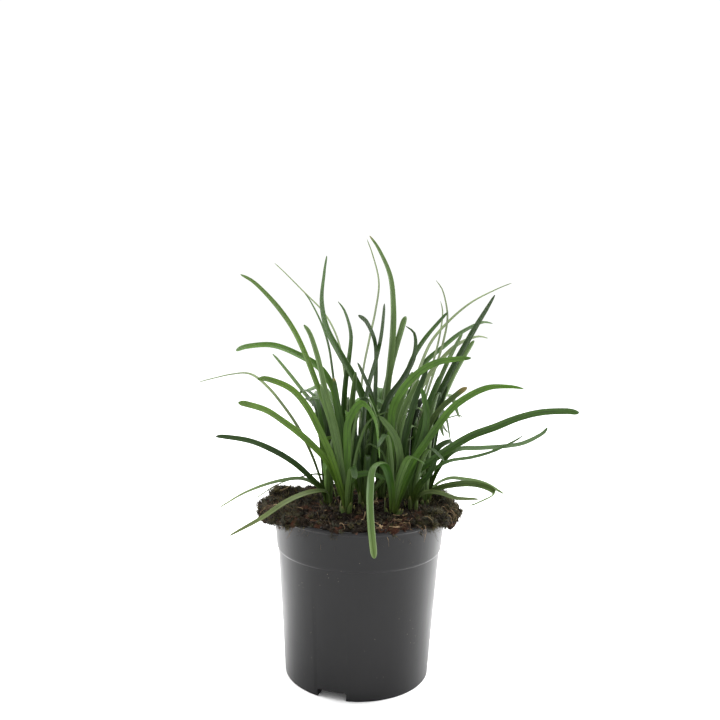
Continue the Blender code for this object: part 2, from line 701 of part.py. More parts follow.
def blade_frames(blade):
    """Width and face directions, carried on along the line from the root."""
    line = blade.line
    last = len(line) - 1
    tangent = (line[1] - line[0]).normalized()
    side = (blade.across - tangent * blade.across.dot(tangent)).normalized()
    side.rotate(Quaternion(tangent, blade.turn))
    frames = []
    for k, share in enumerate(blade.shares):
        ahead = (line[min(k + 1, last)] - line[max(k - 1, 0)]).normalized()
        side.rotate(tangent.rotation_difference(ahead))
        side = (side - ahead * side.dot(ahead)).normalized()
        tangent = ahead
        width_way = side.copy()
        width_way.rotate(Quaternion(tangent, blade.twist * share))
        frames.append((width_way, tangent.cross(width_way)))
    return frames


def blade_mesh(blade, extra=0.0):
    """Four-sided folded cross-sections, each face split in triangles the same way on both sides."""
    vertices = []
    for point, share, (side, face) in zip(blade.line, blade.shares, blade_frames(blade)):
        half = blade.width * width_at(share) / 2.0
        thick = min(BLADE_THICK / 2.0, half * 0.8) + extra
        fold = 2.0 * half * BLADE_FOLD
        vertices.append(point - side * (half + extra) + face * fold)
        vertices.append(point + face * thick)
        vertices.append(point + side * (half + extra) + face * fold)
        vertices.append(point - face * thick)
    faces = [(0, 1, 3), (1, 2, 3)]
    for k in range(len(blade.line) - 1):
        a = 4 * k
        b = a + 4
        for edge in (0, 2):
            for middle in (1, 3):
                faces.append((a + edge, a + middle, b + middle))
                faces.append((a + edge, b + middle, b + edge))
    end = 4 * (len(blade.line) - 1)
    faces.extend([(end, end + 3, end + 1), (end + 1, end + 3, end + 2)])
    return vertices, faces


# Keeping blades clear of each other

def tree_of(blade):
    vertices, faces = blade_mesh(blade, BLADE_CLEAR)
    return BVHTree.FromPolygons(vertices, faces)


def box_of(blade):
    low = [min(point[axis] for point in blade.line) - blade.width for axis in range(3)]
    high = [max(point[axis] for point in blade.line) + blade.width for axis in range(3)]
    return low, high


def boxes_meet(first, second):
    return all(first[0][k] <= second[1][k] and second[0][k] <= first[1][k] for k in range(3))


def step_of(face):
    """The step along the blade that a triangle of blade_mesh belongs to."""
    return max(0, (face - 2) // 8)


def nudge(blade, step, way):
    """Move the blade most at one step, less towards the tip and not at the root."""
    centre = (blade.shares[step] + blade.shares[min(step + 1, len(blade.shares) - 1)]) / 2.0
    for k, share in enumerate(blade.shares):
        if share < centre:
            weight = (share / centre) ** NUDGE_RISE
        else:
            weight = math.exp(-((share - centre) / NUDGE_FALL) ** 2)
        blade.line[k] = blade.line[k] + way * weight


def middle_of(blade, step):
    return (blade.line[step] + blade.line[min(step + 1, len(blade.line) - 1)]) / 2.0


def parting_way(first, step, second, other):
    """Away from the second blade along the line of sight, which keeps the front view."""
    here = middle_of(first, step)
    way = (here - EYE).normalized()
    return way if (here - middle_of(second, other)).dot(way) >= 0.0 else -way


def crossing_steps(first, first_tree, second, second_tree):
    """The steps at which two blades cross, but for the foot of blades in one tuft."""
    found = set()
    for face, other in first_tree.overlap(second_tree):
        steps = (step_of(face), step_of(other))
        inner = min(first.shares[steps[0]], second.shares[steps[1]])
        if first.tuft != second.tuft or inner >= SAME_TUFT_FROM:
            found.add(steps)
    return found


def part_blades(blades, order):
    """Move every crossing pair apart a little; the count of crossings is given back."""
    trees = [tree_of(blade) for blade in blades]
    boxes = [box_of(blade) for blade in blades]
    moves = []
    for first in range(len(blades)):
        for second in range(first + 1, len(blades)):
            if not boxes_meet(boxes[first], boxes[second]):
                continue
            steps = crossing_steps(blades[first], trees[first], blades[second], trees[second])
            if not steps:
                continue
            step, other = sorted(steps)[len(steps) // 2]
            key = (first, second)
            way = parting_way(blades[first], step, blades[second], other)
            if key in order and way.dot(order[key]) < 0.0:
                way = -way
            order[key] = way
            back = parting_way(blades[second], other, blades[first], step)
            if back.dot(way) > 0.0:
                back = -back
            moves.append((first, step, way, second, other, back))
    for first, step, way, second, other, back in moves:
        nudge(blades[first], step, way * PUSH)
        nudge(blades[second], other, back * PUSH)
    return len(moves)


def floor_under(point):
    """The level that a blade must keep above at a place, or none beyond the pot and its clumps."""
    reach = math.hypot(point.x, point.y)
    level = -1.0
    if reach < RIM_RADIUS + RIM_MARGIN:
        level = max(RIM_TOP, soil_height(point.x, point.y))
    for centre, sizes in CLUMPS:
        across = (point.x / MM - centre[0]) / (sizes[0] + CLUMP_MARGIN)
        along = (point.y / MM - centre[1]) / (sizes[1] + CLUMP_MARGIN)
        left = 1.0 - across * across - along * along
        if left > 0.0:
            level = max(level, (centre[2] + (sizes[2] + CLUMP_MARGIN) * math.sqrt(left)) * MM)
    return level


def lift_over_soil(blades):
    """Raise whatever runs too low over the soil, the clumps or the rim."""
    count = 0
    for blade in blades:
        centre = crown_centre(blade.tuft)
        for step in range(1, len(blade.line) - 1):
            point = middle_of(blade, step)
            if math.hypot(point.x - centre.x, point.y - centre.y) < CROWN_REACH:
                continue
            if point.z < floor_under(point) + FLOOR_CLEAR:
                nudge(blade, step, Vector((0.0, 0.0, PUSH)))
                count += 1
    return count


def clear_crowns(blades):
    """Move blades away from the crowns of other tufts."""
    count = 0
    for blade in blades:
        for step in range(1, len(blade.line) - 1):
            point = middle_of(blade, step)
            if point.z > CROWN_TOP + PUSH:
                continue
            for tuft in TUFTS:
                away = point - crown_centre(tuft)
                away.z = 0.0
                if tuft != blade.tuft and away.length < CROWN_LONG + 0.6 * blade.width:
                    nudge(blade, step, away.normalized() * PUSH)
                    count += 1
    return count


def settle(blades):
    order = {}
    for _ in range(MOST_ROUNDS):
        count = part_blades(blades, order) + lift_over_soil(blades) + clear_crowns(blades)
        if count == 0:
            return


def make_crown(tuft):
    turn = math.radians(TUFTS[tuft][2])
    centre = crown_centre(tuft)
    return oval_column("tuft_" + tuft, centre, CROWN_LONG, CROWN_SHORT, turn, CROWN_SHAPE, CROWN_SIDES)


def make_tufts():
    blades = [traced_blade(leaf) for leaf in LEAVES]
    settle(blades)
    add_drawn_blades(blades)
    material = plain_material("leaves", LEAF_COLOUR, 0.45)
    for tuft in TUFTS:
        crown = make_crown(tuft)
        group = helper_collection("leaves " + tuft)
        for blade in blades:
            if blade.tuft == tuft:
                face_outward(mesh_object("leaf", *blade_mesh(blade), group))
        combine(crown, group, "UNION")
        keep_largest(crown)
        finish(crown, material, math.radians(35.0))


def main():
    clear_scene()
    make_pot()
    make_soil()
    make_tufts()


main()
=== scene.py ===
"""Liriope in its nursery pot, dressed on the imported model: pot, mossy soil, litter and leaves."""

import json
import math
import random
from collections import namedtuple

import bmesh
import bpy
import numpy as np
from bpy.props import FloatProperty, FloatVectorProperty, IntProperty, PointerProperty
from bpy.types import Operator, Panel, PropertyGroup
from mathutils import Matrix, Quaternion, Vector, noise
from mathutils.bvhtree import BVHTree

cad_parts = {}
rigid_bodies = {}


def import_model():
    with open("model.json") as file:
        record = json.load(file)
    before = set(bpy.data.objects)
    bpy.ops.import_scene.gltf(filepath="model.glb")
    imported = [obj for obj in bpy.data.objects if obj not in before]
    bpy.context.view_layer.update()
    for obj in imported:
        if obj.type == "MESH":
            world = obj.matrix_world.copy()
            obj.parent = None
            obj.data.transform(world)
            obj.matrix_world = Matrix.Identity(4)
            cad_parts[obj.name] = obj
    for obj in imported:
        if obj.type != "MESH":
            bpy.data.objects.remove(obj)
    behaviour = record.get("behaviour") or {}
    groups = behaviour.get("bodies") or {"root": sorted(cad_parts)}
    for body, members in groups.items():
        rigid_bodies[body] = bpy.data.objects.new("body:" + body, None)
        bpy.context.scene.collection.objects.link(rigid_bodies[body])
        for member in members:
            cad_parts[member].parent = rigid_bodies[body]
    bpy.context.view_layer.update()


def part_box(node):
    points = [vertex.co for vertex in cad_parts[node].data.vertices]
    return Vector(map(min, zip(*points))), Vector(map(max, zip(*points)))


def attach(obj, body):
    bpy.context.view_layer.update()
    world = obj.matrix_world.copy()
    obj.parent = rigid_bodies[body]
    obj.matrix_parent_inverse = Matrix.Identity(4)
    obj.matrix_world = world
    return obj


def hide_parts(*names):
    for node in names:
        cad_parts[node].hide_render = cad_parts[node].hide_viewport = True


bl_info = {
    "name": "Potted Liriope",
    "version": (1, 0, 0),
    "blender": (4, 5, 0),
    "location": "View3D > Sidebar > Liriope",
    "description": "Builds a potted liriope with its soil, litter and leaves around the packed model",
    "category": "Object",
}

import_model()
POT_LOW, POT_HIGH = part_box("pot")

MM = 0.001

# Pot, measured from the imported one
RIM_RADIUS = (POT_HIGH[0] - POT_LOW[0]) / 2.0
RIM_TOP = POT_HIGH[2]
BAND_BOTTOM = RIM_TOP - 28.4 * MM
BAND_BOTTOM_RADIUS = RIM_RADIUS - 3.1 * MM
BODY_TOP_RADIUS = RIM_RADIUS - 4.1 * MM
FOOT_RADIUS = RIM_RADIUS - 10.6 * MM
LIP_HEIGHT = 2.4 * MM
LIP_OVER = 0.8 * MM
BEAD = 0.5 * MM
SHOULDER = 2.0 * MM
WALL = 1.3 * MM
FLOOR_THICK = 1.5 * MM
EDGE = 0.7 * MM
CHANNEL_WIDTH = 22.0 * MM
CHANNEL_HEIGHT = 6.0 * MM
CHANNEL_START = 15.0 * MM
CHANNEL_COUNT = 3
FIRST_CHANNEL = math.radians(-109.0)
DRAIN_RADIUS = 4.0 * MM
DRAIN_AT = 36.0 * MM
GAP = 0.35 * MM
CHANNEL_BEVEL = 1.2 * MM
CHANNEL_BEVEL_STEPS = 3
DRAIN_SIDES = 32
SHARP_ANGLE = math.radians(38.0)

# Soil
SOIL_BOTTOM = FLOOR_THICK + GAP
SOIL_EDGE = 126.8 * MM
SOIL_MOUND = 3.5 * MM
SOIL_LUMP = 2.4 * MM
LUMP_SIZE = 7.5 * MM
SIDE_HEAPS = [
    (-56.0, 2.0, 4.5, 12.0),
    (62.0, 6.0, 3.0, 8.0),
    (-30.0, 40.0, 3.0, 13.0),
    (26.0, 50.0, 3.5, 10.0),
]
MOUND_FOOT = 112.0 * MM
MOUND_VOXEL = 1.1 * MM
MOUND_SIDES = 140
MOUND_RINGS = 46
MOUND_DRAFT = 1.2 * MM
BALL_SIDES = 96
CUTTER_SIDES = 160
CUTTER_DEPTH = 10.0 * MM
CUTTER_DRAFT = 0.9 * MM
# How coarse, medium and fine crumbs are, how far each stands up, and what evens them out
CRUMB_SIZES = (5.2 * MM, 2.4 * MM, 1.25 * MM)
CRUMB_SHARES = (0.75, 0.85, 0.45)
CRUMB_SINK = 0.35
MEDIUM_SHIFT = Vector((7.0, 3.0, 1.0))
CRUMBS_FROM = MOUND_FOOT + 4.0 * MM

# Clumps of moss and peat that lie over the rim: place and half sizes in millimetres
CLUMPS = [
    ((-64, -4, 122), (12, 16, 9.5)),
    ((-57, 12, 129), (13, 13, 7)),
    ((-53, -21, 125), (13, 11, 6)),
    ((66, -2, 122.5), (8.5, 14, 10.5)),
    ((60, 15, 128), (9, 10, 7.5)),
    ((51, -24, 125), (10, 10, 6)),
]
CLUMP_ROUGH = 3.4 * MM
CLUMP_KNOBS = (4.6 * MM, 2.4 * MM)
CLUMP_FINENESS = 5

# Clumps of moss alone that hang a little over the rim, in the same terms
MOSS_CLUMPS = [
    ((-56, -33, 128), (8, 6.5, 4)),
    ((-45, -47, 128.4), (9, 5, 3.2)),
    ((56, -33, 128), (7, 6.5, 3.8)),
    ((45, -46, 128.2), (7.5, 5, 2.8)),
]
CLUMP_SHRINK = 0.92

# Small lumps of peat on the rim, with sizes in millimetres
RIM_LUMPS = 64
RIM_LUMP_SEED = 8
RIM_LUMP_FINENESS = 3
RIM_LUMP_INWARD = (0.2, 3.2)
RIM_LUMP_RISE = (-0.2, 0.9)
RIM_LUMP_WIDTH = (1.6, 3.6)
RIM_LUMP_HEIGHT = (0.9, 1.9)

# Litter
LITTER_LOWEST = 119.0 * MM
FIBRE_RADIUS = 0.17 * MM
CRUMB_SMALLEST = 0.35 * MM
CRUMB_LARGEST = 1.5 * MM
MOSS_NEAREST = 46.0 * MM
MOSS_LOWEST = LITTER_LOWEST + 3.0 * MM
RIM_PATCHES = 90
RIM_CRUMB_BAND = 4.2 * MM
BARK_PATCH = (22.0 * MM, -53.0 * MM)
BARK_PATCH_RADIUS = 13.0 * MM
STUCK_CRUMB = Vector((-57.6, -29.5, 117.5)) * MM
RIM_PATCH_MISSING = 0.4
ROOT_LENGTHS = (5.0, 17.0)
ROOT_RADII = (0.10, 0.26)
ROOT_DROOP = 0.24
ROOT_RISES = (1.0, 6.5)
STRAW_LENGTHS = (4.0, 13.0)
STRAW_RADII = (0.25, 0.6)
STRAW_DROOP = 0.04
STRAW_CLEAR = 0.6 * MM
STRAW_DEPTH = 6.0 * MM
WANDER = 0.26

# Tufts: middle of each crown on the soil, in millimetres, and the turn of its oval in degrees
TUFTS = {
    "a": (-24, -6, 80),
    "b": (-9, -25, 20),
    "c": (-14, 14, 120),
    "d": (4, -5, 60),
    "e": (24, -25, 150),
    "f": (17, 13, 30),
    "g": (39, -11, 100),
    "h": (35, 12, 45),
    "i": (-2, 33, 160),
    "j": (22, 35, 10),
    "k": (49, 4, 90),
}
CROWN_LONG = 6.4 * MM
CROWN_SHORT = 4.8 * MM
CROWN_TOP = 136.0 * MM
ROOT_LEVEL = 121.0 * MM
ROOT_OFF = 0.8 * MM
NECK_LEVEL = 133.0 * MM
NECK_OFF = 2.2 * MM

# Blades
BLADE_THICK = 1.3 * MM
BLADE_FOLD = 0.13
BLADE_STEP = 17.0 * MM
CURVE_STEPS = 24
FEWEST_STEPS = 6
MOST_STEPS = 10
TIP_START = 0.94
WIDTH_ALONG = [(0.0, 0.6), (0.12, 0.72), (0.4, 1.0), (0.65, 0.95), (0.82, 0.78), (0.94, 0.46), (1.0, 0.14)]

# The leaves seen from the front, read where they cross the upright plane through the pot's middle
EYE = Vector((-2.1, -620.0, 309.0)) * MM
FACING_ACROSS = Vector((-1.0, 0.0, 0.0))
Leaf = namedtuple("Leaf", "tuft shade blunt width turn twist middle_depth tip_depth guide")
LEAVES = [
    Leaf(
        "b", "lime", 0.3, 5.2, 47, 0, -28, -48,
        [(-20, 177), (-34, 218), (-52, 259), (-75, 288), (-91, 299)],
    ),
    Leaf(
        "d", "fresh", 0.95, 5.7, 30, 0, -8, 10,
        [(-13, 173), (-24, 221), (-47, 240), (-73, 248), (-94, 243)],
    ),
    Leaf("c", "pale", 0.2, 3.6, 72, 0, 30, 50, [(-12, 208), (-22, 260), (-47, 290), (-66, 308)]),
    Leaf("c", "mid", 0.1, 3.4, 65, 0, 12, 20, [(-18, 192), (-26, 248), (-37, 276), (-45, 288)]),
    Leaf("f", "mid", 0.3, 6.5, 10, 50, 5, -5, [(11, 178), (-4, 219), (-26, 257), (-32, 284), (-28, 314)]),
    Leaf("b", "sage", 0.6, 4.8, 150, 20, -32, -42, [(-17, 173), (-26, 207), (-36, 248), (-44, 263)]),
    Leaf(
        "c", "sage", 0.4, 4.6, 45, 0, 28, 42,
        [(-21, 177), (-33, 201), (-44, 212), (-54, 226), (-67, 241)],
    ),
    Leaf(
        "b", "lime", 0.6, 5.2, 35, 0, -48, -72,
        [(-19, 154), (-29, 179), (-46, 209), (-65, 221), (-78, 222)],
    ),
    Leaf(
        "a", "pale", 0.3, 3.8, 62, 0, 8, 32,
        [(-37, 165), (-55, 197), (-79, 223), (-98, 225), (-121, 219)],
    ),
    Leaf(
        "b", "lime", 0.9, 4.8, 40, 0, -52, -95,
        [(-24, 158), (-38, 174), (-55, 188), (-74, 200), (-92, 204)],
    ),
    Leaf(
        "a", "dark", 0.6, 4.6, 50, 0, -25, -50,
        [(-29, 141), (-39, 149), (-53, 161), (-72, 171), (-91, 177), (-109, 178)],
    ),
    Leaf("a", "mid", 0.3, 4.6, 55, 0, 2, 20, [(-34, 144), (-49, 146), (-69, 142), (-89, 134), (-106, 123)]),
    Leaf("c", "mid", 0.3, 3.7, 60, 0, 32, 52, [(-21, 150), (-36, 150), (-53, 146), (-66, 140), (-79, 131)]),
    Leaf(
        "a", "pale", 0.2, 4.1, 60, 0, -35, -52,
        [(-26, 139), (-45, 134), (-60, 126), (-75, 115), (-99, 101)],
    ),
    Leaf("c", "mid", 0.1, 5.2, 10, 45, 15, 15, [(-14, 208), (-10, 249), (-11, 267), (-19, 281)]),
    Leaf("d", "dark", 0.8, 4.3, 40, 0, 0, -15, [(9, 208), (9, 245), (5, 262), (-4, 271)]),
    Leaf("i", "pale", 0.1, 3.4, 65, 0, 30, 30, [(0, 223), (9, 274), (10, 301), (1, 327)]),
    Leaf("f", "sage", 0.3, 5.7, 160, -20, 5, -12, [(17, 201), (21, 253), (20, 291), (13, 313), (3, 329)]),
    Leaf("d", "dark", 0.4, 4.6, 45, 0, -5, 10, [(3, 204), (10, 238), (14, 260), (15, 280)]),
    Leaf("f", "sage", 0.9, 6.2, 155, 0, 8, 4, [(17, 190), (18, 212), (22, 235), (26, 253), (31, 271)]),
    Leaf("d", "dark", 0.5, 4.1, 40, 0, -18, -26, [(9, 193), (6, 214), (-4, 236)]),
    Leaf(
        "b", "fresh", 0.2, 5.7, 15, 0, -36, -60,
        [(-10, 170), (-9, 193), (0, 206), (8, 199), (12, 185), (14, 164)],
    ),
    Leaf("d", "dark", 0.3, 5.2, 20, 0, -22, -42, [(-5, 185), (-3, 203), (3, 210), (9, 203), (13, 187)]),
    Leaf(
        "e", "hanging", 0.8, 6.1, 25, -73, -58, -86,
        [(22, 149), (15, 163), (8, 155), (7, 132), (9, 108), (12, 86)],
    ),
    Leaf("b", "mid", 0.3, 4.6, 30, 0, -30, -34, [(-6, 147), (3, 152), (13, 151), (21, 147)]),
    Leaf("e", "sage", 0.5, 5.7, 15, 0, -36, -46, [(29, 167), (22, 186), (13, 196)]),
    Leaf("d", "mid", 0.5, 4.6, 20, 0, -12, -20, [(12, 185), (10, 201), (5, 213)]),
    Leaf("a", "lime", 0.5, 4.6, 20, 40, -11, -11, [(-25, 166), (-30, 178), (-25, 182), (-18, 176)]),
    Leaf("h", "dark", 0.2, 5.7, 40, 0, 0, -20, [(44, 179), (61, 220), (79, 257), (88, 273), (96, 288)]),
    Leaf(
        "j", "mid", 0.3, 5.2, 40, 0, 48, 62,
        [(30, 193), (45, 234), (59, 248), (73, 260), (86, 267), (95, 267)],
    ),
    Leaf("h", "pale", 0.3, 4.8, 45, 0, 20, 36, [(36, 194), (50, 228), (66, 247), (79, 256), (92, 256)]),
    Leaf("k", "sage", 0.7, 5.7, 155, 0, 10, 10, [(50, 179), (62, 213), (72, 236), (82, 254)]),
    Leaf("e", "fresh", 0.4, 5.7, 25, 0, -45, -72, [(23, 197), (30, 216), (46, 233), (62, 239), (80, 241)]),
    Leaf("j", "pale", 0.1, 4.6, 45, -40, 30, 30, [(32, 193), (47, 245), (64, 269), (85, 286), (108, 297)]),
    Leaf("f", "mid", 0.4, 4.8, 35, 0, 16, 22, [(27, 193), (34, 231), (46, 255), (62, 275)]),
    Leaf("h", "pale", 0.1, 3.3, 65, 0, 26, 26, [(44, 194), (58, 247), (62, 270), (59, 287), (52, 298)]),
    Leaf("j", "pale", 0.1, 3.3, 65, 0, 36, 36, [(47, 216), (55, 250), (58, 270), (56, 283)]),
    Leaf("d", "dark", 0.1, 5.2, 35, 0, -20, -30, [(16, 199), (27, 217), (36, 237), (42, 252), (31, 264)]),
    Leaf("g", "cut", 1.0, 4.8, 35, 0, -22, -26, [(44, 171), (53, 194), (65, 209), (78, 219)]),
    Leaf(
        "e", "fresh", 0.2, 5.2, 40, 25, -50, -84,
        [(37, 157), (51, 180), (69, 205), (88, 217), (102, 221), (120, 219)],
    ),
    Leaf(
        "g", "mid", 0.9, 5.7, 35, 30, -28, -62,
        [(41, 151), (59, 167), (81, 182), (103, 191), (125, 200), (148, 203), (162, 202)],
    ),
    Leaf("k", "mid", 0.5, 4.8, 45, 0, 12, 30, [(65, 167), (88, 173), (108, 175), (129, 180), (139, 190)]),
    Leaf("g", "mid", 0.2, 3.7, 55, 0, -6, -16, [(54, 156), (69, 163), (89, 167), (110, 176), (121, 184)]),
    Leaf("k", "mid", 0.2, 4.1, 60, 0, 22, 42, [(60, 147), (75, 149), (94, 146), (109, 138)]),
    Leaf(
        "k", "sage", 0.7, 4.8, 40, 0, -12, -34,
        [(60, 143), (75, 145), (94, 145), (102, 141), (97, 134), (83, 129)],
    ),
    Leaf("g", "pale", 0.2, 3.2, 65, 0, -30, -46, [(53, 140), (69, 135), (91, 134)]),
    Leaf("g", "dark", 0.5, 4.8, 30, 0, -26, -36, [(44, 143), (52, 153), (57, 165)]),
    Leaf("e", "sage", 0.5, 6.1, 165, 0, -24, -24, [(29, 186), (34, 205), (42, 224)]),
    Leaf("e", "mid", 0.5, 5.7, 15, 0, -38, -52, [(39, 159), (48, 186), (48, 205), (44, 218)]),
    Leaf(
        "b", "sage", 0.5, 5.2, 30, 0, -34, -46,
        [(-14, 150), (-17, 164), (-21, 182), (-27, 204), (-31, 218)],
    ),
    Leaf(
        "b", "mid", 0.5, 5.4, 20, 0, -24, -30,
        [(-10, 150), (-12, 170), (-15, 188), (-19, 207), (-21, 224)],
    ),
    Leaf("g", "mid", 0.5, 5.4, 30, 0, -16, -20, [(39, 150), (41, 168), (45, 188), (51, 209), (58, 228)]),
    Leaf("e", "dark", 0.5, 5.4, 20, 0, -30, -36, [(29, 150), (31, 170), (35, 190), (41, 213), (48, 233)]),
    Leaf("h", "dark", 0.5, 5.6, 30, 0, 4, 0, [(45, 160), (50, 180), (57, 202), (63, 220)]),
    Leaf("d", "fresh", 0.5, 5.2, 160, 0, -10, -8, [(19, 150), (22, 170), (25, 190), (31, 212), (37, 230)]),
    Leaf("c", "mid", 0.5, 5.4, 165, 0, 8, 6, [(-6, 150), (-5, 168), (-7, 189), (-7, 208), (-5, 229)]),
    Leaf("k", "sage", 0.5, 5.0, 40, 0, 16, 22, [(50, 190), (54, 212), (60, 230), (67, 247), (73, 259)]),
]

# The leaves behind and between them, drawn by a rule
SEED = 11
DRAWN_EACH = [("upright", 3), ("back", 3), ("front", 1)]
# middle direction and its spread in degrees, reach, rise and share of the rise kept at the tip
DRAWN_KINDS = {
    "upright": (90.0, 140.0, (8, 42), (45, 95), (0.92, 1.0)),
    "back": (90.0, 36.0, (45, 105), (50, 92), (0.25, 0.95)),
    "front": (-90.0, 40.0, (18, 46), (34, 70), (0.55, 0.95)),
    "inner": (90.0, 170.0, (3, 20), (32, 70), (1.06, 1.22)),
}
FRONT_TUFTS = "abdeg"
DRAWN_WIDTHS = (4.2, 6.0)
DRAWN_TURN = 35.0
DRAWN_TWIST = 50.0
MOST_DRAWS = 150
FAN_MIDDLE = 14.0 * MM
FAN_FOOT = 145.0 * MM
FAN_HALF_WIDTH = 40.0 * MM
FAN_SPREAD = 0.5
FAN_TOP = 218.0 * MM
FAN_BOTTOM = 138.0 * MM

# Keeping blades clear of each other
BLADE_CLEAR = 0.3 * MM
PUSH = 0.9 * MM
NUDGE_RISE = 1.4
NUDGE_FALL = 0.4
MOST_ROUNDS = 60
SAME_TUFT_FROM = 0.3
FLOOR_CLEAR = 2.6 * MM
CROWN_REACH = 8.0 * MM
CLUMP_MARGIN = 2.0
RIM_MARGIN = 2.0 * MM

# The finer leaves of this script, with short ones that fill the inside of the plant
LEAF_STEP = 3.4 * MM
TIP_ZONE = 5.0 * MM
TIP_STEPS = 4
BLUNT_WIDTH = 0.86
# Places in LEAVES of two thin leaves that turn their edge to the front
EDGE_ON = (13, 43)
EDGE_ON_TURN = math.radians(112.0)
LEAF_THICK = 0.38 * MM
ATTRIBUTE_FIELDS = {"FLOAT": "value", "FLOAT_VECTOR": "vector", "FLOAT_COLOR": "color"}
LEAF_WAVE = 34.0 * MM
LEAF_RIPPLE = 0.5 * MM
FOOT_PALE_RISE = 30.0 * MM
INNER_EACH = [("inner", 6)]
INNER_SEED = 31
SHEATHS_EACH = 5
SHEATH_SEED = 5
SHEATH_WIDTHS = (2.6, 4.4)
SHEATH_RISES = (10.0, 20.0)
SHEATH_DRY = 0.15
SHEATH_LEANS = (0.8, 1.35)
SHEATH_SHADES = ["husk", "husk", "sheath", "mid"]
DRAWN_SHADES = ["mid", "dark", "dark", "fresh", "sage", "mid", "dark"]
# Some inner leaves take the near-black colour below: painted shade in the plant's core
INNER_SHADES = ["dark", "dark", "mid", "sage", "dark_tone_and_shade"]

# Linear colours of the leaves
SHADES = {
    "lime": (0.044, 0.094, 0.005),
    "fresh": (0.036, 0.09, 0.005),
    "mid": (0.021, 0.056, 0.0045),
    "dark": (0.012, 0.032, 0.0035),
    # Near-black for some inner leaves: painted shade in the plant's dense core
    "dark_tone_and_shade": (0.004, 0.012, 0.001),
    "sage": (0.046, 0.086, 0.02),
    "pale": (0.085, 0.118, 0.046),
    "hanging": (0.02, 0.058, 0.005),
    "cut": (0.034, 0.058, 0.012),
    "dry": (0.190, 0.150, 0.050),
    "sheath": (0.066, 0.090, 0.016),
    "husk": (0.028, 0.018, 0.007),
}

# Linear colours of the other finishes; a kind of litter runs from dark over middle to light
LITTER_COLOURS = {
    "Peat fibre": ((0.009, 0.005, 0.003), (0.040, 0.024, 0.012), (0.16, 0.115, 0.06)),
    "Peat crumb": ((0.004, 0.003, 0.002), (0.014, 0.008, 0.005), (0.050, 0.022, 0.012)),
    "Moss": ((0.006, 0.006, 0.002), (0.020, 0.019, 0.005), (0.060, 0.048, 0.012)),
    "Straw and bark": ((0.045, 0.018, 0.010), (0.12, 0.070, 0.033), (0.30, 0.22, 0.12)),
}
DUST = (0.20, 0.17, 0.13)
RED_BARK = (0.046, 0.018, 0.010)
BARK_CHIPS = (0.046, 0.016, 0.009)
FIBRE_DUST = (0.085, 0.058, 0.030)
LEAF_BACK = (0.080, 0.132, 0.038)
# Painted sheen along the edges of the leaves
LEAF_EDGE_SHEEN = (0.10, 0.145, 0.040)
PALER = (1.95, 1.75, 1.8)
# Darkening for random streaks and blotches on the leaves, and for painted shade along each leaf's middle
TONE_AND_SHADE_DARKENING = (0.42, 0.45, 0.40)
PAPER = ((0.96, 0.96, 0.96), (0.98, 0.98, 0.98))

# Stage: place, width and height of each lamp, and its share of the lamp power
LIGHTS = {
    "top_light": ((0.15, 0.25, 1.3), (0.9, 0.9), 1.0),
    "left_light": ((-1.05, 0.35, 0.45), (0.6, 1.2), 0.9),
    "right_light": ((1.05, 0.35, 0.45), (0.6, 1.2), 0.9),
}
LIGHT_AIM = Vector((0.0, 0.0, 0.15))
FLOOR_HALF = 6.0
FILM_WIDTH = 36.0


# Small helpers

def mesh_object(name, vertices, faces, collection=None):
    mesh = bpy.data.meshes.new(name)
    mesh.from_pydata([tuple(vertex) for vertex in vertices], [], faces)
    mesh.update()
    thing = bpy.data.objects.new(name, mesh)
    (collection or bpy.context.scene.collection).objects.link(thing)
    return thing


def face_outward(thing):
    work = bmesh.new()
    work.from_mesh(thing.data)
    bmesh.ops.recalc_face_normals(work, faces=work.faces)
    work.to_mesh(thing.data)
    work.free()


def band_faces(lower, upper):
    faces = []
    sides = len(lower)
    for k in range(sides):
        corner = [lower[k], lower[(k + 1) % sides], upper[(k + 1) % sides], upper[k]]
        kept = [v for n, v in enumerate(corner) if v not in corner[:n]]
        if len(kept) > 2:
            faces.append(kept)
    return faces


def lathe(name, profile, sides, collection=None):
    """Turn a profile of (radius, height) about Z; a point on the axis becomes one vertex."""
    vertices = []
    rings = []
    for radius, height in profile:
        if radius == 0.0:
            rings.append([len(vertices)] * sides)
            vertices.append((0.0, 0.0, height))
            continue
        rings.append(list(range(len(vertices), len(vertices) + sides)))
        for k in range(sides):
            angle = 2.0 * math.pi * k / sides
            vertices.append((radius * math.cos(angle), radius * math.sin(angle), height))
    faces = []
    for lower, upper in zip(rings, rings[1:]):
        faces.extend(band_faces(lower, upper))
    if profile[0][0] > 0.0:
        faces.extend(band_faces(rings[-1], rings[0]))
    thing = mesh_object(name, vertices, faces, collection)
    face_outward(thing)
    return thing


def box(name, low, high, turn, collection):
    corners = [(x, y, z) for z in (low[2], high[2]) for y in (low[1], high[1]) for x in (low[0], high[0])]
    faces = [(0, 2, 3, 1), (4, 5, 7, 6), (0, 1, 5, 4), (2, 6, 7, 3), (0, 4, 6, 2), (1, 3, 7, 5)]
    rotation = Matrix.Rotation(turn, 3, "Z")
    return mesh_object(name, [rotation @ Vector(corner) for corner in corners], faces, collection)


def helper_collection(name):
    collection = bpy.data.collections.new(name)
    bpy.context.scene.collection.children.link(collection)
    return collection


def made_plain(thing):
    """Replace an object's mesh by what its modifiers make of it, and drop them."""
    depsgraph = bpy.context.evaluated_depsgraph_get()
    made = bpy.data.meshes.new_from_object(thing.evaluated_get(depsgraph))
    thing.modifiers.clear()
    old = thing.data
    name = old.name
    thing.data = made
    bpy.data.meshes.remove(old)
    made.name = name


def combine(thing, collection, operation, crossing=False):
    """Join or cut with everything in a collection, then remove what was in it.

    With crossing set, faces of one mesh that run through each other are solved too.
    """
    modifier = thing.modifiers.new(operation.lower(), "BOOLEAN")
    modifier.operand_type = "COLLECTION"
    modifier.collection = collection
    modifier.operation = operation
    modifier.solver = "EXACT"
    modifier.use_self = crossing
    made_plain(thing)
    for used in list(collection.objects):
        bpy.data.objects.remove(used, do_unlink=True)
    bpy.data.collections.remove(collection)


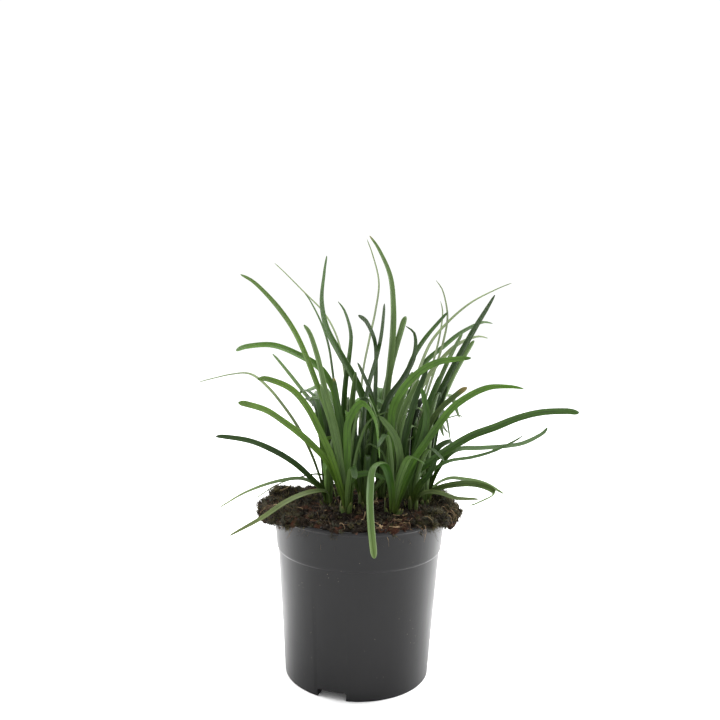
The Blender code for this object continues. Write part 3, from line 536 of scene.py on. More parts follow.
def dressed(thing, material):
    mesh = thing.data
    mesh.materials.clear()
    mesh.materials.append(material)
    mesh.polygons.foreach_set("material_index", [0] * len(mesh.polygons))


def hand_over(thing, slot, *nodes):
    """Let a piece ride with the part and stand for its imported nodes."""
    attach(thing, "root")
    if nodes:
        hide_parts(*nodes)


def arc(centre, radius, start, end, steps):
    """Points of a rounded corner in a (radius, height) profile, by angles in degrees."""
    points = []
    for k in range(steps + 1):
        angle = math.radians(start + (end - start) * k / steps)
        points.append((centre[0] + radius * math.cos(angle), centre[1] + radius * math.sin(angle)))
    return points


# Pot

def pot_profile():
    lip_bottom = RIM_TOP - LIP_HEIGHT
    under_lip = RIM_RADIUS - LIP_OVER
    outside = [(0.0, 0.0), (FOOT_RADIUS - 2.0 * EDGE, 0.0)]
    outside += arc((FOOT_RADIUS - EDGE, EDGE), EDGE, -90.0, 0.0, 5)
    outside += [
        (BODY_TOP_RADIUS - 0.1 * MM, BAND_BOTTOM - 4.0 * BEAD),
        (BODY_TOP_RADIUS + 0.1 * MM, BAND_BOTTOM - 2.6 * BEAD),
        (BODY_TOP_RADIUS + BEAD, BAND_BOTTOM - 1.9 * BEAD),
        (BAND_BOTTOM_RADIUS - 0.2 * MM, BAND_BOTTOM - 1.0 * BEAD),
        (BAND_BOTTOM_RADIUS, BAND_BOTTOM),
        (BAND_BOTTOM_RADIUS + 0.15 * MM, BAND_BOTTOM + 2.0 * BEAD),
        (under_lip - 0.1 * MM, lip_bottom - 2.0 * EDGE),
        (under_lip + 0.1 * MM, lip_bottom - EDGE),
        (RIM_RADIUS - 0.3 * MM, lip_bottom - 0.1 * MM),
    ]
    outside += arc((RIM_RADIUS - 0.4 * MM, lip_bottom + 0.4 * MM), 0.4 * MM, -45.0, 0.0, 3)
    outside += arc((RIM_RADIUS - EDGE, RIM_TOP - EDGE), EDGE, 0.0, 90.0, 6)
    inside = arc((under_lip - WALL + EDGE, RIM_TOP - EDGE), EDGE, 90.0, 180.0, 5)
    inside += [
        (under_lip - WALL, lip_bottom),
        (BAND_BOTTOM_RADIUS - WALL, BAND_BOTTOM),
        (BODY_TOP_RADIUS - WALL, BAND_BOTTOM - SHOULDER),
        (FOOT_RADIUS - WALL, FLOOR_THICK),
        (0.0, FLOOR_THICK),
    ]
    return outside + inside


def inner_radius(height):
    """Radius of the pot's inner wall below the band."""
    share = (height - FLOOR_THICK) / (BAND_BOTTOM - SHOULDER - FLOOR_THICK)
    return FOOT_RADIUS - WALL + share * (BODY_TOP_RADIUS - FOOT_RADIUS)


def channel_turns():
    return [FIRST_CHANNEL + 2.0 * math.pi * k / CHANNEL_COUNT for k in range(CHANNEL_COUNT)]


def channel_ridges(collection, extra):
    """The raised backs of the channels, seen from inside the pot."""
    half = CHANNEL_WIDTH / 2.0 + WALL + extra
    for turn in channel_turns():
        low = (CHANNEL_START - WALL - extra, -half, FLOOR_THICK / 2.0)
        high = (inner_radius(0.0) + WALL / 4.0 + 20.0 * extra, half, CHANNEL_HEIGHT + WALL + extra)
        box("ridge", low, high, turn, collection)


def channel_cutters(collection):
    half = CHANNEL_WIDTH / 2.0
    for turn in channel_turns():
        low = (CHANNEL_START, -half, -CHANNEL_HEIGHT)
        channel = box("channel", low, (RIM_RADIUS, half, CHANNEL_HEIGHT), turn, collection)
        bevel = channel.modifiers.new("corners", "BEVEL")
        bevel.width = CHANNEL_BEVEL
        bevel.segments = CHANNEL_BEVEL_STEPS
        centre = (DRAIN_AT * math.cos(turn), DRAIN_AT * math.sin(turn))
        drain = lathe("drain", drain_profile(), DRAIN_SIDES, collection)
        drain.data.transform(Matrix.Translation((*centre, 0.0)))


def drain_profile():
    low = CHANNEL_HEIGHT - WALL
    high = CHANNEL_HEIGHT + 2.0 * WALL
    return [(0.0, low), (DRAIN_RADIUS, low), (DRAIN_RADIUS, high), (0.0, high)]


def make_pot(settings):
    pot = lathe("nursery_pot", pot_profile(), settings.sides)
    ridges = helper_collection("ridges")
    channel_ridges(ridges, 0.0)
    combine(pot, ridges, "UNION")
    cutters = helper_collection("channels")
    channel_cutters(cutters)
    combine(pot, cutters, "DIFFERENCE")
    dressed(pot, pot_material(settings))
    pot.data.shade_smooth()
    pot.data.set_sharp_from_angle(angle=SHARP_ANGLE)
    hand_over(pot, "pot", "pot")


# Soil

def soil_height(x, y):
    """Height of the soil's surface over a place, before the clumps are laid on."""
    reach = min(1.0, math.hypot(x, y) / RIM_RADIUS)
    height = SOIL_EDGE + SOIL_MOUND * (1.0 - reach * reach)
    for heap_x, heap_y, rise, spread in SIDE_HEAPS:
        away = math.hypot(x - heap_x * MM, y - heap_y * MM) / (spread * MM)
        height += rise * MM * math.exp(-away * away) * (1.0 - reach ** 8)
    where = Vector((x, y, 0.0)) / LUMP_SIZE
    return height + SOIL_LUMP * (noise.noise(where) + 0.5 * noise.noise(where * 2.3))


def clump(centre, sizes, collection, fineness=CLUMP_FINENESS):
    """A rough lump of moss and peat."""
    work = bmesh.new()
    bmesh.ops.create_icosphere(work, subdivisions=fineness, radius=1.0)
    middle = Vector(centre) * MM
    for vertex in work.verts:
        way = vertex.co.normalized()
        place = middle + Vector(a * b * MM for a, b in zip(way, sizes))
        rough = noise.noise(place / CLUMP_KNOBS[0]) + 0.6 * noise.noise(place / CLUMP_KNOBS[1])
        vertex.co = place + way * min(CLUMP_ROUGH, 0.45 * sizes[2] * MM) * rough
    mesh = bpy.data.meshes.new("clump")
    work.to_mesh(mesh)
    work.free()
    collection.objects.link(bpy.data.objects.new("clump", mesh))


def rim_lumps(collection):
    """Small lumps of peat that lie on the rim all round and hide its lip here and there."""
    draw = random.Random(RIM_LUMP_SEED)
    for k in range(RIM_LUMPS):
        turn = 2.0 * math.pi * (k + draw.uniform(-0.5, 0.5)) / RIM_LUMPS
        reach = RIM_RADIUS / MM - draw.uniform(*RIM_LUMP_INWARD)
        level = RIM_TOP / MM + draw.uniform(*RIM_LUMP_RISE)
        centre = (reach * math.cos(turn), reach * math.sin(turn), level)
        sizes = [draw.uniform(*span) for span in (RIM_LUMP_WIDTH, RIM_LUMP_WIDTH, RIM_LUMP_HEIGHT)]
        clump(centre, sizes, collection, RIM_LUMP_FINENESS)


def rim_cutter(collection):
    """The pot's upper wall and rim, grown by the gap, to clear the soil that lies over it."""
    lip_bottom = RIM_TOP - LIP_HEIGHT
    inner_lip = RIM_RADIUS - LIP_OVER - WALL - GAP
    foot = MOUND_FOOT - CUTTER_DEPTH
    profile = [
        (inner_radius(foot) - GAP, foot),
        (inner_lip - CUTTER_DRAFT, MOUND_FOOT),
        (inner_lip, lip_bottom),
        (inner_lip + EDGE / 2.0, RIM_TOP - EDGE / 3.0),
        (inner_lip + EDGE + GAP, RIM_TOP + GAP),
        (RIM_RADIUS - EDGE + GAP / 3.0, RIM_TOP + GAP),
        (RIM_RADIUS + GAP, RIM_TOP - EDGE + GAP / 3.0),
        (RIM_RADIUS + GAP, foot),
    ]
    lathe("rim", profile, CUTTER_SIDES, collection)


def mound_base():
    """The top of the root ball as a closed disc with the soil's rise and fall."""
    inner_lip = RIM_RADIUS - LIP_OVER - WALL - GAP
    vertices = [(0.0, 0.0, MOUND_FOOT)]
    angles = [2.0 * math.pi * k / MOUND_SIDES for k in range(MOUND_SIDES)]
    rings = [list(range(1, MOUND_SIDES + 1))]
    foot_radius = inner_lip - MOUND_DRAFT
    vertices.extend((foot_radius * math.cos(a), foot_radius * math.sin(a), MOUND_FOOT) for a in angles)
    for ring in range(MOUND_RINGS):
        rings.append(list(range(len(vertices), len(vertices) + MOUND_SIDES)))
        radius = inner_lip * (1.0 - ring / MOUND_RINGS)
        for a in angles:
            x = radius * math.cos(a)
            y = radius * math.sin(a)
            vertices.append((x, y, soil_height(x, y)))
    vertices.append((0.0, 0.0, soil_height(0.0, 0.0)))
    faces = band_faces([0] * MOUND_SIDES, rings[0])
    for lower, upper in zip(rings, rings[1:]):
        faces.extend(band_faces(lower, upper))
    faces.extend(band_faces(rings[-1], [len(vertices) - 1] * MOUND_SIDES))
    mound = mesh_object("peat_mound", vertices, faces)
    face_outward(mound)
    return mound


def roughen(thing, settings):
    """Break the soil's surface up into crumbs, with the finer ones on the coarser."""
    mesh = thing.data
    for vertex in mesh.vertices:
        if vertex.co.z < CRUMBS_FROM:
            continue
        place = vertex.co
        coarse = 1.0 - 2.0 * abs(noise.noise(place / CRUMB_SIZES[0]))
        medium = noise.noise(place / CRUMB_SIZES[1] + MEDIUM_SHIFT)
        fine = noise.noise(place / CRUMB_SIZES[2])
        crumbs = zip(CRUMB_SHARES, (coarse, medium, fine))
        amount = sum(share * rise for share, rise in crumbs) - CRUMB_SINK
        vertex.co = place + vertex.normal * settings.crumb_height * amount


def keep_most(thing):
    """Drop the crumbs that cutting left loose."""
    work = bmesh.new()
    work.from_mesh(thing.data)
    left = set(work.verts)
    bodies = []
    while left:
        stack = [left.pop()]
        body = set(stack)
        while stack:
            for edge in stack.pop().link_edges:
                for vertex in edge.verts:
                    if vertex not in body:
                        body.add(vertex)
                        stack.append(vertex)
        left -= body
        bodies.append(body)
    bodies.sort(key=len)
    for body in bodies[:-1]:
        bmesh.ops.delete(work, geom=list(body), context="VERTS")
    work.to_mesh(thing.data)
    work.free()


def root_ball():
    """The peat below the mound, inside the pot."""
    profile = [
        (0.0, SOIL_BOTTOM),
        (inner_radius(SOIL_BOTTOM) - GAP, SOIL_BOTTOM),
        (BODY_TOP_RADIUS - WALL - GAP, BAND_BOTTOM - SHOULDER),
        (BAND_BOTTOM_RADIUS - WALL - GAP, BAND_BOTTOM),
        (BAND_BOTTOM_RADIUS - WALL, MOUND_FOOT - GAP),
        (0.0, MOUND_FOOT - GAP),
    ]
    ball = lathe("root ball", profile, BALL_SIDES)
    cutters = helper_collection("ridges")
    channel_ridges(cutters, GAP)
    combine(ball, cutters, "DIFFERENCE")
    return ball


def join_meshes(thing, others):
    """Add other objects' meshes to this one's and remove those objects."""
    work = bmesh.new()
    work.from_mesh(thing.data)
    for other in others:
        work.from_mesh(other.data)
        bpy.data.objects.remove(other, do_unlink=True)
    work.to_mesh(thing.data)
    work.free()


def make_mound(settings):
    """The mound with its clumps run together, roughened and cut clear of the rim."""
    mound = mound_base()
    clumps = helper_collection("clumps")
    for centre, sizes in CLUMPS:
        clump(centre, [size * CLUMP_SHRINK for size in sizes], clumps)
    for centre, sizes in MOSS_CLUMPS:
        clump(centre, sizes, clumps)
    rim_lumps(clumps)
    join_meshes(mound, list(clumps.objects))
    bpy.data.collections.remove(clumps)
    remesh = mound.modifiers.new("even", "REMESH")
    remesh.mode = "VOXEL"
    remesh.voxel_size = MOUND_VOXEL
    made_plain(mound)
    roughen(mound, settings)
    cutters = helper_collection("rim")
    rim_cutter(cutters)
    combine(mound, cutters, "DIFFERENCE", crossing=True)
    keep_most(mound)
    join_meshes(mound, [root_ball()])
    dressed(mound, soil_material(settings))
    mound.data.shade_smooth()
    hand_over(mound, "soil", "soil")


# Nodes

class Network:
    """Nodes and their links, written from left to right."""

    def __init__(self, tree):
        self.nodes = tree.nodes
        self.links = tree.links

    def node(self, kind, settings=None, **inputs):
        """Add a node; inputs are given by socket name with _ for a space, or as number_N."""
        made = self.nodes.new(kind)
        for key, value in (settings or {}).items():
            setattr(made, key, value)
        for key, value in inputs.items():
            if key.startswith("number_"):
                socket = made.inputs[int(key.removeprefix("number_"))]
            else:
                socket = made.inputs[key.replace("_", " ")]
            self.feed(socket, value)
        return made

    def feed(self, socket, value):
        if isinstance(value, bpy.types.NodeSocket):
            self.links.new(value, socket)
        else:
            socket.default_value = value

    def math(self, operation, first, second=0.0, third=0.0):
        made = self.node(
            "ShaderNodeMath", {"operation": operation}, number_0=first, number_1=second, number_2=third
        )
        return made.outputs[0]


class Tree(Network):
    """A geometry node group with named inputs, the last of them its material."""

    def __init__(self, name, inputs):
        self.group = bpy.data.node_groups.new(name, "GeometryNodeTree")
        super().__init__(self.group)
        self.keys = {}
        self.ask("Geometry", "NodeSocketGeometry")
        self.group.interface.new_socket("Geometry", in_out="OUTPUT", socket_type="NodeSocketGeometry")
        for label, default in inputs.items():
            kind = "NodeSocketInt" if isinstance(default, int) else "NodeSocketFloat"
            self.ask(label, kind).default_value = default
        self.ask("Material", "NodeSocketMaterial")
        self.source = self.nodes.new("NodeGroupInput")

    def ask(self, label, kind):
        socket = self.group.interface.new_socket(label, in_out="INPUT", socket_type=kind)
        self.keys[label] = socket.identifier
        return socket

    def asked(self, label):
        return self.source.outputs[label]

    def drawn(self, low, high, seed, kind="FLOAT"):
        """A random value for each point."""
        made = self.nodes.new("FunctionNodeRandomValue")
        made.data_type = kind
        sockets = [s for s in made.inputs if s.enabled]
        self.feed(sockets[0], low)
        self.feed(sockets[1], high)
        self.feed(made.inputs["Seed"], seed)
        return [s for s in made.outputs if s.enabled][0]

    def value(self, name, kind="FLOAT"):
        """A named value that the geometry carries."""
        made = self.node("GeometryNodeInputNamedAttribute", {"data_type": kind}, Name=name)
        return [s for s in made.outputs if s.enabled][0]

    def stored(self, geometry, name, value):
        """Keep a number at each point under a name."""
        made = self.node(
            "GeometryNodeStoreNamedAttribute",
            {"data_type": "FLOAT", "domain": "POINT"},
            Geometry=geometry,
            Name=name,
            Value=value,
        )
        return made.outputs[0]

    def scaled(self, vector, amount):
        made = self.node("ShaderNodeVectorMath", {"operation": "SCALE"}, number_0=vector, Scale=amount)
        return made.outputs[0]

    def added(self, first, second):
        made = self.node("ShaderNodeVectorMath", {"operation": "ADD"}, number_0=first, number_1=second)
        return made.outputs[0]

    def spun(self, low, high, seed):
        """A random turn for each point, drawn between two sets of angles."""
        angles = self.drawn(low, high, seed, "FLOAT_VECTOR")
        return self.node("FunctionNodeEulerToRotation", Euler=angles).outputs[0]

    def turned(self, rotation, by):
        made = self.node(
            "FunctionNodeRotateRotation",
            {"rotation_space": "LOCAL"},
            Rotation=rotation,
            Rotate_By=by,
        )
        return made.outputs[0]

    def soil_place(self):
        """The place on the soil, its distance across, and whether litter may lie so low."""
        place = self.node("GeometryNodeInputPosition").outputs[0]
        parts = self.node("ShaderNodeSeparateXYZ", Vector=place)
        high = self.math("GREATER_THAN", parts.outputs["Z"], self.asked("Lowest"))
        return place, parts.outputs["X"], high

    def scattered(self, density):
        return self.node(
            "GeometryNodeDistributePointsOnFaces",
            {"distribute_method": "RANDOM"},
            Mesh=self.asked("Geometry"),
            Density=density,
            Seed=self.asked("Seed"),
        )

    def laid(self, points, shape, **placing):
        """One copy of a shape on each point."""
        made = self.node("GeometryNodeInstanceOnPoints", Points=points, Instance=shape, **placing)
        return made.outputs[0]

    def finish(self, geometry):
        """Make the copies real, give them the material and end the group."""
        real = self.node("GeometryNodeRealizeInstances", Geometry=geometry)
        final = self.node(
            "GeometryNodeSetMaterial", Geometry=real.outputs[0], Material=self.asked("Material")
        )
        end = self.nodes.new("NodeGroupOutput")
        self.links.new(final.outputs[0], end.inputs[0])


def run_tree(thing, tree, values):
    """Run a tree on an object with its inputs set by identifier, and keep the plain mesh."""
    modifier = thing.modifiers.new("tree", "NODES")
    modifier.node_group = tree.group
    for name, value in values.items():
        modifier[tree.keys[name]] = value
    made_plain(thing)


# Litter on the soil

def litter_host(name, mound):
    """A copy of the soil's skin, which a tree scatters on."""
    host = bpy.data.objects.new(name, mound.data.copy())
    host.data.name = name
    bpy.context.scene.collection.objects.link(host)
    return host


def fibre_tree():
    """Bent fibres scattered over the top of the soil, thickest on the side heaps."""
    inputs = {"Per square metre": 100000.0, "Longest": 0.01, "Radius": 0.0002}
    inputs.update({"Bend": 0.4, "Lean": 1.2, "Lowest": 0.118, "Seed": 1})
    tree = Tree("Peat fibres", inputs)
    _, across, high = tree.soil_place()
    heaped = tree.math("MULTIPLY_ADD", tree.math("MULTIPLY", across, across), 330.0, 0.25)
    share = tree.math("MULTIPLY", high, heaped)
    scatter = tree.scattered(tree.math("MULTIPLY", share, tree.asked("Per square metre")))
    lean = tree.asked("Lean")
    back = tree.math("MULTIPLY", lean, -1.0)
    low = tree.node("ShaderNodeCombineXYZ", X=back, Y=back, Z=-math.pi)
    top = tree.node("ShaderNodeCombineXYZ", X=lean, Y=lean, Z=math.pi)
    spun = tree.spun(low.outputs[0], top.outputs[0], 11)
    size = tree.drawn(0.25, 1.0, 12)
    kept = tree.stored(scatter.outputs["Points"], "tint", tree.drawn(0.0, 1.0, 13))
    strand = tree.node(
        "GeometryNodeCurveQuadraticBezier",
        Resolution=5,
        Start=(0.0, 0.0, -0.08),
        Middle=(0.28, 0.0, 0.5),
        End=(0.05, 0.12, 1.0),
    )
    relative = tree.math("DIVIDE", tree.asked("Radius"), tree.asked("Longest"))
    ring = tree.node(
        "GeometryNodeCurvePrimitiveCircle", {"mode": "RADIUS"}, Resolution=3, Radius=relative
    )
    strip = tree.node(
        "GeometryNodeCurveToMesh",
        Curve=strand.outputs[0],
        Profile_Curve=ring.outputs[0],
        Fill_Caps=True,
    )
    whole = tree.math("MULTIPLY", size, tree.asked("Longest"))
    bend = tree.math("MULTIPLY", whole, tree.asked("Bend"))
    stretch = tree.node("ShaderNodeCombineXYZ", X=bend, Y=bend, Z=whole)
    rotation = tree.turned(scatter.outputs["Rotation"], spun)
    tree.finish(tree.laid(kept, strip.outputs[0], Rotation=rotation, Scale=stretch.outputs[0]))
    return tree


def make_litter(settings):
    """Scatter each kind of litter on the soil's skin, then lay the straw and the loose roots."""
    mound = bpy.data.objects["peat_mound"]
    work = bmesh.new()
    work.from_mesh(mound.data)
    mound_tree = BVHTree.FromBMesh(work)
    work.free()
    looks = {name: litter_material(name, *colours) for name, colours in LITTER_COLOURS.items()}
    scatter = [
        ("peat_fibres", fibre_tree(), "Peat fibre", {
            "Per square metre": settings.fibre_density,
            "Longest": settings.fibre_length,
            "Radius": FIBRE_RADIUS,
            "Lowest": LITTER_LOWEST,
        }),
        ("peat_crumbs", crumb_tree(), "Peat crumb", {
            "Per square metre": settings.crumb_density,
            "Smallest": CRUMB_SMALLEST,
            "Largest": CRUMB_LARGEST,
            "Lowest": LITTER_LOWEST,
        }),
        ("moss_sprigs", sprig_tree(), "Moss", {
            "Per square metre": settings.sprig_density,
            "Height": settings.sprig_height,
            "Nearest": MOSS_NEAREST,
            "Lowest": MOSS_LOWEST,
        }),
    ]
    for name, tree, look, values in scatter:
        host = litter_host(name, mound)
        if name == "peat_crumbs":
            add_rim_top(host, settings)
        run_tree(host, tree, {**values, "Seed": settings.seed, "Material": looks[look]})
        settle_litter(host, looks[look])
    strands = strand_tree()
    straw = looks["Straw and bark"]
    for name, paths in (
        ("straw_bits", straw_strands(mound_tree, settings)),
        ("hanging_roots", hanging_strands(settings)),
    ):
        guide = strand_guide(name, paths)
        run_tree(guide, strands, {"Material": straw})
        settle_litter(guide, straw)


def add_rim_top(host, settings):
    """Let crumbs fall on the pot's rim too, in patches."""
    work = bmesh.new()
    work.from_mesh(host.data)
    draw = random.Random(settings.seed)
    level = RIM_TOP + CRUMB_SMALLEST * 0.5
    inner = RIM_RADIUS - RIM_CRUMB_BAND
    outer = RIM_RADIUS - 0.6 * MM
    for k in range(RIM_PATCHES):
        if draw.random() < RIM_PATCH_MISSING:
            continue
        turns = (2.0 * math.pi * k / RIM_PATCHES, 2.0 * math.pi * (k + 1) / RIM_PATCHES)
        corners = [(inner, turns[0]), (outer, turns[0]), (outer, turns[1]), (inner, turns[1])]
        work.faces.new([work.verts.new((r * math.cos(a), r * math.sin(a), level)) for r, a in corners])
    work.to_mesh(host.data)
    work.free()


def settle_litter(thing, material):
    face_outward(thing)
    thing.data.shade_smooth()
    dressed(thing, material)
    hand_over(thing, "soil")


def crumb_tree():
    """Rounded crumbs of peat lying on the soil."""
    inputs = {"Per square metre": 60000.0, "Smallest": 0.0005, "Largest": 0.0016}
    inputs.update({"Lowest": 0.118, "Seed": 2})
    tree = Tree("Peat crumbs", inputs)
    _, _, high = tree.soil_place()
    scatter = tree.scattered(tree.math("MULTIPLY", high, tree.asked("Per square metre")))
    kept = tree.stored(scatter.outputs["Points"], "tint", tree.drawn(0.0, 1.0, 23))
    ball = tree.node("GeometryNodeMeshIcoSphere", Radius=1.0, Subdivisions=2)
    where = tree.node("GeometryNodeInputPosition").outputs[0]
    rough = tree.node("ShaderNodeTexNoise", {"noise_dimensions": "3D"}, Vector=where, Scale=1.7)
    lumpy = tree.scaled(where, tree.math("MULTIPLY_ADD", rough.outputs[0], 1.5, 0.1))
    stone = tree.node("GeometryNodeSetPosition", Geometry=ball.outputs[0], Position=lumpy)
    size = tree.drawn(tree.asked("Smallest"), tree.asked("Largest"), 21)
    spun = tree.spun((0.0, 0.0, 0.0), (6.3, 6.3, 6.3), 22)
    flat = tree.node("ShaderNodeCombineXYZ", X=size, Y=size, Z=tree.math("MULTIPLY", size, 0.7))
    tree.finish(tree.laid(kept, stone.outputs[0], Rotation=spun, Scale=flat.outputs[0]))
    return tree


def sprig_tree():
    """Little moss sprigs: pointed leaves in a tight rosette, thick on the side heaps."""
    inputs = {"Per square metre": 60000.0, "Height": 0.004, "Nearest": 0.044}
    inputs.update({"Lowest": 0.121, "Seed": 3})
    tree = Tree("Moss sprigs", inputs)
    place, across, high = tree.soil_place()
    far = tree.math("GREATER_THAN", tree.math("ABSOLUTE", across), tree.asked("Nearest"))
    patch = tree.node("ShaderNodeTexNoise", Vector=place, Scale=70.0)
    patchy = tree.math("GREATER_THAN", patch.outputs[0], 0.52)
    some = tree.math("MAXIMUM", far, tree.math("MULTIPLY", patchy, 0.35))
    share = tree.math("MULTIPLY", high, some)
    scatter = tree.scattered(tree.math("MULTIPLY", share, tree.asked("Per square metre")))
    kept = tree.stored(scatter.outputs["Points"], "tint", tree.drawn(0.0, 1.0, 33))
    spike = tree.node("GeometryNodeMeshCone", Vertices=4, Radius_Top=0.0, Radius_Bottom=0.11, Depth=1.0)
    ring = tree.node("GeometryNodeMeshCircle", Vertices=7, Radius=0.1)
    step = tree.math("MULTIPLY", tree.node("GeometryNodeInputIndex").outputs[0], 2.4)
    lean = tree.math("MULTIPLY_ADD", tree.math("SINE", step), 0.22, 0.62)
    aim = tree.node("ShaderNodeCombineXYZ", X=0.0, Y=lean, Z=step)
    aimed = tree.node("FunctionNodeEulerToRotation", Euler=aim.outputs[0])
    rosette = tree.laid(ring.outputs[0], spike.outputs[0], Rotation=aimed.outputs[0])
    whole = tree.node("GeometryNodeRealizeInstances", Geometry=rosette)
    size = tree.math("MULTIPLY", tree.drawn(0.35, 1.0, 31), tree.asked("Height"))
    spun = tree.spun((-0.6, -0.6, -3.1), (0.6, 0.6, 3.1), 32)
    rotation = tree.turned(scatter.outputs["Rotation"], spun)
    tree.finish(tree.laid(kept, whole.outputs[0], Rotation=rotation, Scale=size))
    return tree


def strand_tree():
    """A round strand along each drawn path, thinner towards its end."""
    tree = Tree("Strands", {"Sides": 5})
    path = tree.node("GeometryNodeMeshToCurve", Mesh=tree.asked("Geometry"))
    ring = tree.node(
        "GeometryNodeCurvePrimitiveCircle", {"mode": "RADIUS"}, Resolution=tree.asked("Sides"), Radius=1.0
    )
    swept = tree.node(
        "GeometryNodeCurveToMesh",
        Curve=path.outputs[0],
        Profile_Curve=ring.outputs[0],
        Scale=tree.value("half_width"),
        Fill_Caps=True,
    )
    tree.finish(swept.outputs[0])
    return tree


def store_values(mesh, name, kind, values):
    """Keep one value for each point of a mesh under a name."""
    attribute = mesh.attributes.new(name, kind, "POINT")
    flat = np.array([tuple(v) for v in values] if kind != "FLOAT" else values, dtype=np.float32)
    attribute.data.foreach_set(ATTRIBUTE_FIELDS[kind], flat.ravel())


def strand_guide(name, strands):
    """Paths of (place, radius, tint) as one object that the strand tree reads."""
    places = []
    edges = []
    radii = []
    tints = []
    for strand in strands:
        for k, (place, radius, tint) in enumerate(strand):
            if k:
                edges.append((len(places) - 1, len(places)))
            places.append(tuple(place))
            radii.append(radius)
            tints.append(tint)
    mesh = bpy.data.meshes.new(name)
    mesh.from_pydata(places, edges, [])
    store_values(mesh, "half_width", "FLOAT", radii)
    store_values(mesh, "tint", "FLOAT", tints)
    thing = bpy.data.objects.new(name, mesh)
    bpy.context.scene.collection.objects.link(thing)
    return thing


def wandering(draw, start, way, length, radius, droop, steps=9):
    """A strand that wanders off from its start and bends down under its own weight."""
    place = Vector(start)
    way = Vector(way).normalized()
    tint = draw.random()
    strand = []
    for k in range(steps + 1):
        share = k / steps
        strand.append((place.copy(), radius * (1.0 - 0.6 * share), tint))
        way = way + Vector((draw.gauss(0, WANDER), draw.gauss(0, WANDER), draw.gauss(0, WANDER) - droop))
        way.normalize()
        place = place + way * (length / steps)
    return strand


def clear_of_pot(strand):
    """Keep a strand just outside the pot's wall where it hangs beside it."""
    kept = []
    for place, radius, tint in strand:
        reach = math.hypot(place.x, place.y)
        outside = RIM_RADIUS + radius + GAP
        if place.z < RIM_TOP + radius + GAP and reach < outside and reach > RIM_RADIUS - 8.0 * MM:
            if RIM_TOP - place.z < outside - reach:
                place = Vector((place.x, place.y, RIM_TOP + radius + GAP))
            else:
                place = Vector((place.x * outside / reach, place.y * outside / reach, place.z))
        kept.append((place, radius, tint))
    return kept


def hanging_strands(settings):
    """Loose roots and fibres that hang over the rim at both sides."""
    draw = random.Random(settings.seed)
    strands = []
    for side, count in ((-1.0, settings.hanging_left), (1.0, settings.hanging_right)):
        for _ in range(count):
            angle = draw.gauss(-0.12, 0.42)
            out = Vector((side * math.cos(angle), math.sin(angle), 0.0))
            start = out * (RIM_RADIUS - draw.uniform(-3.0, 3.0) * MM)
            start.z = RIM_TOP + draw.uniform(*ROOT_RISES) * MM
            way = out + Vector((0.0, draw.gauss(0, 0.5), draw.uniform(-0.4, 0.7)))
            length = draw.uniform(*ROOT_LENGTHS) * MM
            radius = draw.uniform(*ROOT_RADII) * MM
            strands.append(clear_of_pot(wandering(draw, start, way, length, radius, ROOT_DROOP)))
    return strands


def straw_strands(mound_tree, settings):
    """Short bits of straw and bark that lie on the soil between the leaves, and most in one patch."""
    draw = random.Random(settings.seed + 1)
    strands = []
    for k in range(settings.straw_count):
        angle = draw.uniform(0.0, 2.0 * math.pi)
        patch = k % 3 == 0
        reach = (BARK_PATCH_RADIUS if patch else RIM_RADIUS) * math.sqrt(draw.uniform(0.02, 0.9))
        over = Vector((reach * math.cos(angle), reach * math.sin(angle), RIM_TOP + 60.0 * MM))
        if patch:
            over = over + Vector((*BARK_PATCH, 0.0))
        place, normal, _, _ = mound_tree.ray_cast(over, Vector((0.0, 0.0, -1.0)))
        if place is None or place.z < SOIL_EDGE - STRAW_DEPTH:
            continue
        radius = draw.uniform(*STRAW_RADII) * MM
        flat = normal.cross(Vector((draw.gauss(0, 1), draw.gauss(0, 1), draw.gauss(0, 1)))).normalized()
        length = draw.uniform(*STRAW_LENGTHS) * MM
        start = place + normal * (radius + STRAW_CLEAR) - flat * (length / 2.0)
        strands.append(wandering(draw, start, flat + normal * 0.12, length, radius, STRAW_DROOP, 5))
    top = STUCK_CRUMB + Vector((0.2, 0.1, 1.2)) * MM
    strands.append([(STUCK_CRUMB, 0.8 * MM, 0.0), (top, 0.6 * MM, 0.0)])
    return strands


# The leaf rules

class Blade:
    """One leaf: its tuft, its middle line and how wide it is and which way it faces."""

    def __init__(self, tuft, line, width, across, turn, twist):
        self.tuft = tuft
        self.line = line
        self.width = width
        self.across = across
        self.turn = turn
        self.twist = twist
        self.shares = step_shares(len(line) - 1)


def step_shares(steps):
    """Shares of the length at each cross-section, with a short last step to the tip."""
    return [TIP_START * k / (steps - 1) for k in range(steps)] + [1.0]


def smooth_line(points):
    """A smooth curve through every point, as many short straight steps."""
    ends = [points[0] * 2.0 - points[1]] + points + [points[-1] * 2.0 - points[-2]]
    dense = []
    for before, start, end, after in zip(ends, ends[1:], ends[2:], ends[3:]):
        for k in range(CURVE_STEPS):
            t = k / CURVE_STEPS
            a = start * 2.0
            b = (end - before) * t
            c = (before * 2.0 - start * 5.0 + end * 4.0 - after) * (t * t)
            d = (start * 3.0 - before - end * 3.0 + after) * (t ** 3)
            dense.append((a + b + c + d) * 0.5)
    dense.append(points[-1])
    return dense


def stepped_line(dense):
    """The cross-section places along a dense line, more of them on a longer one."""
    length = [0.0]
    for start, end in zip(dense, dense[1:]):
        length.append(length[-1] + (end - start).length)
    steps = round(length[-1] / BLADE_STEP)
    shares = step_shares(max(FEWEST_STEPS, min(MOST_STEPS, steps)))
    points = []
    place = 0
    for share in shares:
        wanted = share * length[-1]
        while place < len(dense) - 2 and length[place + 1] < wanted:
            place += 1
        span = length[place + 1] - length[place]
        points.append(dense[place].lerp(dense[place + 1], (wanted - length[place]) / span))
    return points


def crown_centre(tuft):
    x, y, _ = TUFTS[tuft]
    return Vector((x * MM, y * MM, 0.0))


